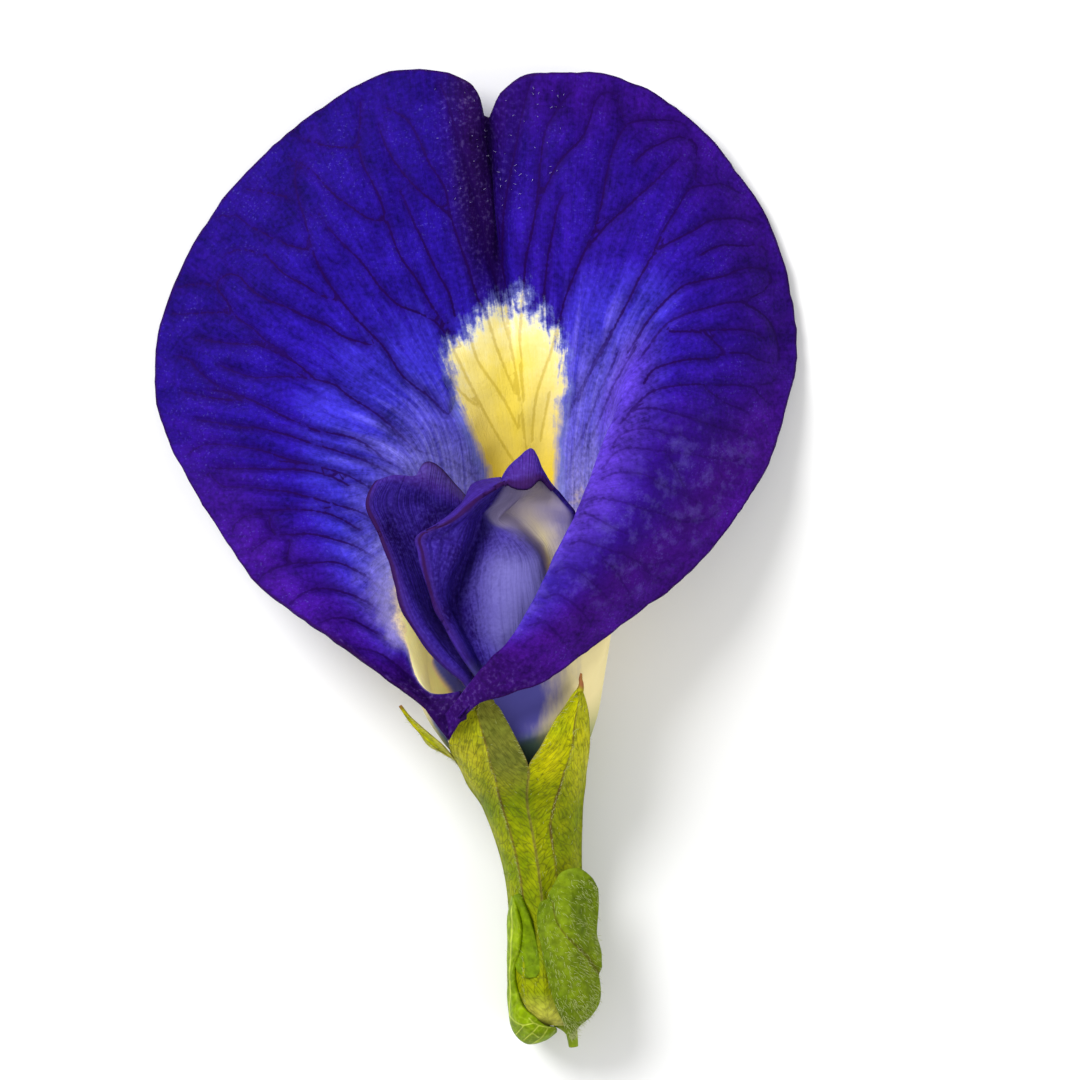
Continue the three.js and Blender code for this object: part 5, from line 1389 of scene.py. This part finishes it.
# %% Finish: calyx
LEAF_GLOSS = 0.05  # specular level of leaf skin under fine hairs
BLOTCHES = 0.6 / MM  # soft blotches: 1.7 mm
LEAF_STREAKS = 1.4 / MM  # streaks of 0.7 mm, three times as long as they are wide
BENDS = 1.5 / MM  # bends of the small veins: 0.7 mm
LEAF_GRAIN = 3.2 / MM  # grain of the skin: 0.3 mm
green, tree = finish("sepal_tissue_yellow_green")
where = add(tree, "TexCoord", {}, out="Object")
uv = add(tree, "UVMap", {}, uv_map="petal")
height = add(tree, "SeparateXYZ", {0: uv}, out="Y")
rib, seam, olive_shade = [
    add(tree, "Attribute", {}, out="Fac", attribute_name=fact) for fact in ("rib", "seam", "olive_shade")]
mottle = add(tree, "TexNoise", {"Vector": where, "Scale": BLOTCHES, "Detail": 5})
strong = add(tree, "MapRange", {"Value": mottle, "From Min": 0.3, "From Max": 0.7})
bright, shaded_olive, yellow = [
    add(tree, "MixRGB", {"Fac": strong, "Color1": first, "Color2": second})
    for first, second in (("989E00", "BAB400"), ("5F6620", "78782A"), ("627402", "888E02"))]
# Olive is painted shade on the side of each sepal's midrib that faces away from the light
base = add(tree, "MixRGB", {"Fac": olive_shade, "Color1": bright, "Color2": shaded_olive})
tube = add(tree, "MapRange", {"Value": height, "From Min": 0.86, "From Max": 0.72})
base = add(tree, "MixRGB", {"Fac": tube, "Color1": base, "Color2": yellow})
print("nodes so far:", len(tree.nodes))

# %% Finish: calyx, veins and ribs
streak = add(tree, "Mapping", {"Vector": where, "Scale": (1.0, 0.35, 1.0)})
streak = add(tree, "TexNoise", {"Vector": streak, "Scale": LEAF_STREAKS, "Detail": 3})
slant = add(tree, "Math", {0: rib, 1: 0.06, 2: height}, operation="MULTIPLY_ADD")
cells = add(tree, "CombineXYZ", {"X": rib, "Y": slant})
cells = add(tree, "VectorMath", {0: cells, 1: (1.7, 50, 0)}, operation="MULTIPLY")
wander = add(tree, "TexNoise", {"Vector": where, "Scale": BENDS, "Detail": 4}, out="Color")
cells = add(tree, "VectorMath", {0: wander, 1: (1.0, 1.0, 0), 2: cells}, operation="MULTIPLY_ADD")
net = add(tree, "TexVoronoi", {"Vector": cells, "Scale": 1}, feature="DISTANCE_TO_EDGE")
veins = add(tree, "MapRange", {"Value": net, "From Min": 0, "From Max": 0.07, "To Min": 0.6, "To Max": 0})
low = add(tree, "MapRange", {"Value": height, "From Min": 0.13, "From Max": 0.04, "To Max": 0.7})
upper = add(tree, "MapRange", {"Value": height, "From Min": 0.2, "From Max": 0.34})
stripe = add(tree, "MapRange", {"Value": rib, "From Min": 0.04, "From Max": 0.12, "To Min": 0.8,
                                "To Max": 0}, interpolation_type="SMOOTHSTEP")
dashes = add(tree, "MapRange", {"Value": streak, "From Min": 0.35, "From Max": 0.6, "To Min": 1,
                                "To Max": 0.55})
join = add(tree, "MapRange", {"Value": seam, "From Min": 0.03, "From Max": 0.12, "To Min": 0.6,
                              "To Max": 0}, interpolation_type="SMOOTHSTEP")
for factor in (dashes, upper):
    stripe = add(tree, "Math", {0: stripe, 1: factor}, operation="MULTIPLY")
join = add(tree, "Math", {0: join, 1: upper}, operation="MULTIPLY")
for amount, tint in ((veins, "4E5210"), (low, "C0BC50"), (stripe, "5A4220"), (join, "6A5C30")):
    base = add(tree, "MixRGB", {"Fac": amount, "Color1": base, "Color2": tint})
grain = add(tree, "TexNoise", {"Vector": where, "Scale": LEAF_GRAIN, "Detail": 5})
streak = add(tree, "Math", {0: streak, 1: 0.4}, operation="MULTIPLY")
uneven = add(tree, "Math", {0: grain, 1: 1.0, 2: streak}, operation="MULTIPLY_ADD")
uneven = add(tree, "MapRange", {"Value": uneven, "From Min": 0.45, "From Max": 0.95, "To Min": 0.7,
                                "To Max": 1.36})
base = add(tree, "VectorMath", {0: base, "Scale": uneven}, operation="SCALE")
bristle = add(tree, "MapRange", {"Value": height, "From Min": 1.018, "From Max": 1.03, "To Max": 0.8})
base = add(tree, "MixRGB", {"Fac": bristle, "Color1": base, "Color2": "8A4A3A"})
relief = add(tree, "Math", {0: veins, 1: -1, 2: streak}, operation="MULTIPLY_ADD")
bump = add(tree, "Bump", {"Height": relief, "Distance": 0.08 * MM, "Strength": 0.6})
surface(tree, Base_Color=base, Roughness=0.5, Normal=bump, Specular_IOR_Level=LEAF_GLOSS)
print("nodes in the calyx's finish:", len(tree.nodes))


# %% Calyx: one piece
BASE_Y = 1020  # the tube's open base lies below this
bm = bmesh.new()
for piece in pieces:
    bm.from_mesh(piece.data)
    bpy.data.objects.remove(piece)
bmesh.ops.remove_doubles(bm, verts=bm.verts, dist=2e-6)
base = (CENTRE_Y - BASE_Y) * UNIT
base_ring = [e for e in bm.edges if e.is_boundary and all(v.co.y < base for v in e.verts)]
bmesh.ops.holes_fill(bm, edges=base_ring, sides=0)
bmesh.ops.recalc_face_normals(bm, faces=bm.faces)
mesh = bpy.data.meshes.new("calyx_bloom")
bm.to_mesh(mesh)
bm.free()
mesh.shade_smooth()
calyx = put("calyx_bloom", mesh)
calyx.vertex_groups.new(name="thin")
calyx.data.materials.append(green)
thicken(calyx, LEAF, -1)
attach(calyx, "root")
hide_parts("calyx")
lengths = (0.14 + 0.2 * draw.random(SEPAL_HAIRS * len(HAIRY))) * MM
roots, ways = np.concatenate(hair_roots), np.concatenate(hair_ways)
hairs("calyx_hairs", "calyx", roots, ways, lengths, hair_skin)
print("calyx:", len(mesh.polygons), "faces, open edges at the base:", len(base_ring))

# %% [markdown]
# Two small leaves, the bracteoles, hug the base of the calyx. The right one is matt and hairy with a
# crosswise fold, and the left one is bright green with a net of pale veins.

# %% Bracteoles: nets
BRACTEOLE_RIGHT = [
  [0.0, [[-1, 570, 1039, 3.6], [0, 572.5, 1040, 3.7], [1, 575, 1039, 3.6]]],
  [0.05, [[-1, 566, 1028, 4.4], [0, 572, 1029, 4.5], [1, 578, 1027, 4.3]]],
  [0.12, [[-1, 559, 1012, 5.3], [-0.4, 567, 1015, 5.6], [0.3, 579, 1017, 5.3], [1, 591, 1016, 4.4]]],
  [0.3, [[-1, 550, 986, 5.6], [-0.4, 563, 990, 6.3], [0.3, 583, 994, 6.2], [1, 600.5, 996, 4.6]]],
  [0.5, [[-1, 542, 952, 5.7], [-0.4, 556, 956, 6.7], [0.3, 578, 962, 6.5], [1, 597, 965, 4.5]]],
  [0.7, [[-1, 537, 918, 5.7], [-0.4, 551, 925, 6.6], [0.3, 573, 932, 6.6], [1, 597, 935, 4.5]]],
  [0.84, [[-1, 540, 902, 5.7], [-0.45, 553, 905, 6.3], [0.3, 571, 905, 6.5], [1, 599, 905, 4.8]]],
  [1.0, [[-1, 549, 899, 5.7], [-0.6, 556, 890, 5.8], [-0.2, 559, 873, 5.9], [0.3, 577, 867, 6.0],
    [0.7, 591, 876, 5.6], [1, 598, 888, 5.0]]],
]

BRACTEOLE_LEFT = [
  [0.0, [[-1, 555, 1026, 3.6], [-0.5, 557, 1029, 3.2], [-0.1, 556, 1032, 2.6], [0.4, 554, 1031, 1.8],
    [1, 552, 1029, 1.2]]],
  [0.1, [[-1, 547, 1025, 4.9], [-0.6, 548, 1034, 4.6], [-0.2, 545, 1041, 3.2], [0.4, 543, 1038, 1.5],
    [1, 545, 1030, 0.6]]],
  [0.22, [[-1, 535, 1018, 5.5], [-0.6, 530, 1033, 4.9], [-0.2, 526, 1043, 3.3], [0.4, 527, 1038, 1.3],
    [1, 534, 1028, 0.4]]],
  [0.36, [[-1, 522, 1006, 5.0], [-0.6, 515, 1018, 4.6], [-0.2, 511, 1025, 3.2], [0.4, 514, 1022, 1.2],
    [1, 525, 1016, 0.4]]],
  [0.5, [[-1, 514, 988, 4.5], [-0.6, 510, 994, 4.1], [-0.2, 507.5, 998, 3.1], [0.4, 511, 997, 1.3],
    [1, 522, 994, 0.4]]],
  [0.65, [[-1, 513, 968, 4.3], [-0.6, 509.5, 970, 3.9], [-0.2, 507, 970, 3.1], [0.4, 510, 970, 1.4],
    [1, 521, 968, 0.4]]],
  [0.8, [[-1, 519, 945, 4.8], [-0.6, 512, 944, 4.4], [-0.2, 507.5, 942, 3.2], [0.4, 510, 940, 1.5],
    [1, 520, 936, 0.5]]],
  [0.92, [[-1, 517, 918, 5.0], [-0.6, 512, 916, 4.4], [-0.2, 508, 914, 3.3], [0.4, 510, 914, 2.0],
    [1, 516, 914, 1.2]]],
  [1.0, [[-1, 512.5, 898, 4.4], [-0.6, 511.5, 896, 4.1], [-0.2, 511, 895, 3.6], [0.4, 511.5, 896, 3.0],
    [1, 512.5, 898, 2.6]]],
]
# The left one's other half lies on the tube
BRACTEOLE_HALF = [
  [0.0, [[-1, 517, 971, 4.5], [0, 526, 977, 4.9], [1, 536, 976, 5.1]]],
  [0.2, [[-1, 514, 962, 4.35], [0, 526, 966, 4.9], [1, 540, 968, 5.1]]],
  [0.5, [[-1, 512, 938, 4.2], [0, 523, 939, 4.8], [1, 536, 941, 5.0]]],
  [0.8, [[-1, 512, 912, 4.2], [0, 520, 912, 4.8], [1, 528, 915, 5.1]]],
  [1.0, [[-1, 513, 896, 4.4], [0, 514.5, 894, 4.6], [1, 517, 896, 4.8]]],
]
# The crosswise fold of the right one, and the pale veins of both
FOLD = [(553, 902), (557, 921), (568, 937), (583, 952), (599, 975)]
RIGHT_LINES = [
    [(575, 1018), (573, 1004), (566, 988), (556, 966), (548, 940)],
    [(573, 1004), (582, 990), (590, 978)],
    [(568, 992), (576, 978), (588, 966)],
    [(562, 978), (568, 964), (576, 952)],
    [(566, 988), (558, 984)],
    [(556, 966), (562, 952), (567, 940)],
]
LEFT_LINES = [
    [(509, 1015), (516, 1022), (524, 1024), (534, 1022), (539, 1024), (549, 1027), (555, 1028)],
    [(539, 1024), (532, 1032), (524, 1039)],
    [(524, 1024), (519, 1030), (515, 1035)],
    [(547, 1028), (542, 1036), (534, 1042)],
    [(532, 1032), (538, 1036)],
    [(534, 1022), (529, 1017)],
    [(509, 1015), (510, 990), (510, 960), (512, 930), (512, 905)],
]
print("lines on the bracteoles:", len(RIGHT_LINES) + len(LEFT_LINES))


# %% [markdown]
# A bracteole has the net of veins that most leaves have. It is a Voronoi pattern as well, and the
# larger veins and the fold are drawn lines, whose distance is a fact on the mesh.

# %% Finish: bracteoles
LEAF_BLOTCHES = 0.45 / MM  # soft blotches: 2.2 mm
LEAF_BENDS = 1.2 / MM  # bends of the net: 0.8 mm
COARSE_GRAIN = 2.6 / MM  # grain of the skin: 0.4 mm


def leaf(name, first, second, vein_tint, size, strength, ribs, roughness):
    """A leaf in two greens with a net of veins whose meshes are a size in mm, and drawn ribs."""
    material, tree = finish(name)
    where = add(tree, "TexCoord", {}, out="Object")
    line, fold = [
        add(tree, "VectorMath", {0: add(tree, "Attribute", {}, out="Vector", attribute_name=fact)},
            out="Value", operation="LENGTH") for fact in ("line", "fold")]
    mottle = add(tree, "TexNoise", {"Vector": where, "Scale": LEAF_BLOTCHES, "Detail": 5})
    strong = add(tree, "MapRange", {"Value": mottle, "From Min": 0.3, "From Max": 0.7})
    bent = add(tree, "TexNoise", {"Vector": where, "Scale": LEAF_BENDS, "Detail": 2}, out="Color")
    bent = add(tree, "VectorMath", {0: bent, 1: (0.6 * MM,) * 3, 2: where}, operation="MULTIPLY_ADD")
    net = add(tree, "TexVoronoi", {"Vector": bent, "Scale": 1 / (size * MM)}, feature="DISTANCE_TO_EDGE")
    veins = add(tree, "MapRange", {"Value": net, "From Min": 0, "From Max": 0.1, "To Min": strength,
                                   "To Max": 0})
    main = add(tree, "MapRange", {"Value": line, "From Min": 0.2, "From Max": 1.0, "To Min": ribs,
                                  "To Max": 0})
    veins = add(tree, "Math", {0: veins, 1: main}, operation="MAXIMUM")
    shadow = add(tree, "MapRange", {"Value": fold, "From Min": 0.2, "From Max": 1.4, "To Min": 0.65,
                                    "To Max": 0})
    base = first
    for amount, tint in ((strong, second), (veins, vein_tint), (shadow, "4A3E12")):
        base = add(tree, "MixRGB", {"Fac": amount, "Color1": base, "Color2": tint})
    grain = add(tree, "TexNoise", {"Vector": where, "Scale": COARSE_GRAIN, "Detail": 3})
    uneven = add(tree, "MapRange", {"Value": grain, "From Min": 0.3, "From Max": 0.7, "To Min": 0.7,
                                    "To Max": 1.3})
    base = add(tree, "VectorMath", {0: base, "Scale": uneven}, operation="SCALE")
    height = add(tree, "Math", {0: veins, 1: -1, 2: grain}, operation="MULTIPLY_ADD")
    bump = add(tree, "Bump", {"Height": height, "Distance": 0.08 * MM, "Strength": 0.6})
    surface(tree, Base_Color=base, Roughness=roughness, Normal=bump, Specular_IOR_Level=LEAF_GLOSS)
    return material


# %% Bracteoles
LEAF_COLUMNS, LEAF_ROWS = 90, 150
FOLD_HEIGHT = 0.28  # mm by which the fold stands up
NO_LINE = (-99.0, 0.0)  # a way to a line that is far off


def bracteole(name, node, net, lines, fold, seed, inner, material):
    """A bracteole. Its sheet is its outer skin, and inner says which side of it the leaf's body is on."""
    s = evened(-1, 1, LEAF_COLUMNS, across(net, [0.3, 0.6, 0.9]))
    t = evened(0, 1, LEAF_ROWS, along(net, [-0.5, 0, 0.5]))
    middle = sheet(net, s, t)
    flat = middle[..., :2].reshape(-1, 2)
    shape = middle.shape[:2]
    facts = {}
    for fact, drawn in (("line", lines), ("fold", fold)):
        gap = nearest(drawn, flat)[0] if drawn else np.tile(NO_LINE, (len(flat), 1))
        lift = np.maximum(0, np.hypot(*gap.T) - NEAR) * 2
        facts[fact] = np.concatenate([gap, lift[:, None]], 1).reshape(shape + (3,))
    side = facts["fold"][..., 0] - facts["fold"][..., 1]
    crease = FOLD_HEIGHT * blend(-1, 5, side) * blend(34, 12, side)
    points = raised(middle, 0.1 * noise_at(middle, 1.5, seed) + crease)
    points[..., 2] = np.maximum(points[..., 2], LEAF)
    piece = grid_piece(name, LEAF_COLUMNS, LEAF_ROWS, points, s, t, facts)
    piece.data.materials.append(material)
    thicken(piece, LEAF, inner)
    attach(piece, "root")
    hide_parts(node)
    print(name, len(piece.data.polygons), "faces")
    return points


MESHES = 0.7  # mm across a mesh of a leaf's net
matt = leaf("bracteole_leaf_matt_green", "506408", "687A0C", "7E8C34", MESHES, 0.15, 0.2, 0.75)
bright = leaf("bracteole_leaf_bright_green", "5E7600", "748C00", "B0BC48", MESHES, 0.15, 0.65, 0.5)
inner = leaf("bracteole_leaf_inner_green", "566E04", "688002", "8A9A20", MESHES, 0.12, 0.5, 0.5)
skin = bracteole(
    "bracteole_leaf_right", "bracteole_right", BRACTEOLE_RIGHT, RIGHT_LINES, [FOLD], 4, -1, matt)
bracteole("bracteole_leaf_left", "bracteole_left", BRACTEOLE_LEFT, LEFT_LINES, [], 6, 1, bright)
bracteole("bracteole_leaf_half", "bracteole_left", BRACTEOLE_HALF, [], [], 8, -1, inner)

# %% Bracteoles: hairs
DOWN_RIGHT = np.array([0.6, -0.7, 0.0])  # the way that the hairs on the matt leaf lie
rows, columns = draw.integers(4, LEAF_ROWS - 3, LEAF_HAIRS), draw.integers(1, LEAF_COLUMNS, LEAF_HAIRS)
root, n, up = on_sheet(skin, rows, columns)
ways = DOWN_RIGHT + 0.35 * draw.standard_normal((LEAF_HAIRS, 3)) + 0.25 * n
lengths = (0.15 + 0.22 * draw.random(LEAF_HAIRS)) * MM
hairs("bracteole_hairs", "bracteole_right", root, ways, lengths, hair_skin)

# %% Pedicel
STALK = [
  [558, 1018, 2.9, 0.5], [566, 1024, 3.1, 0.42], [571, 1031, 3.1, 0.34], [572.5, 1038, 3.0, 0.3],
  [573.5, 1046, 2.9, 0.27],
]
pedicel = gathered("pedicel_stub", [rod_mesh(STALK, 24, 40)])
pedicel.data.materials.append(soft_flesh("stalk_green", "869A1C", "708414", 0.5, 0.6))
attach(pedicel, "root")
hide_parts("pedicel")
print("pedicel:", len(pedicel.data.polygons), "faces")
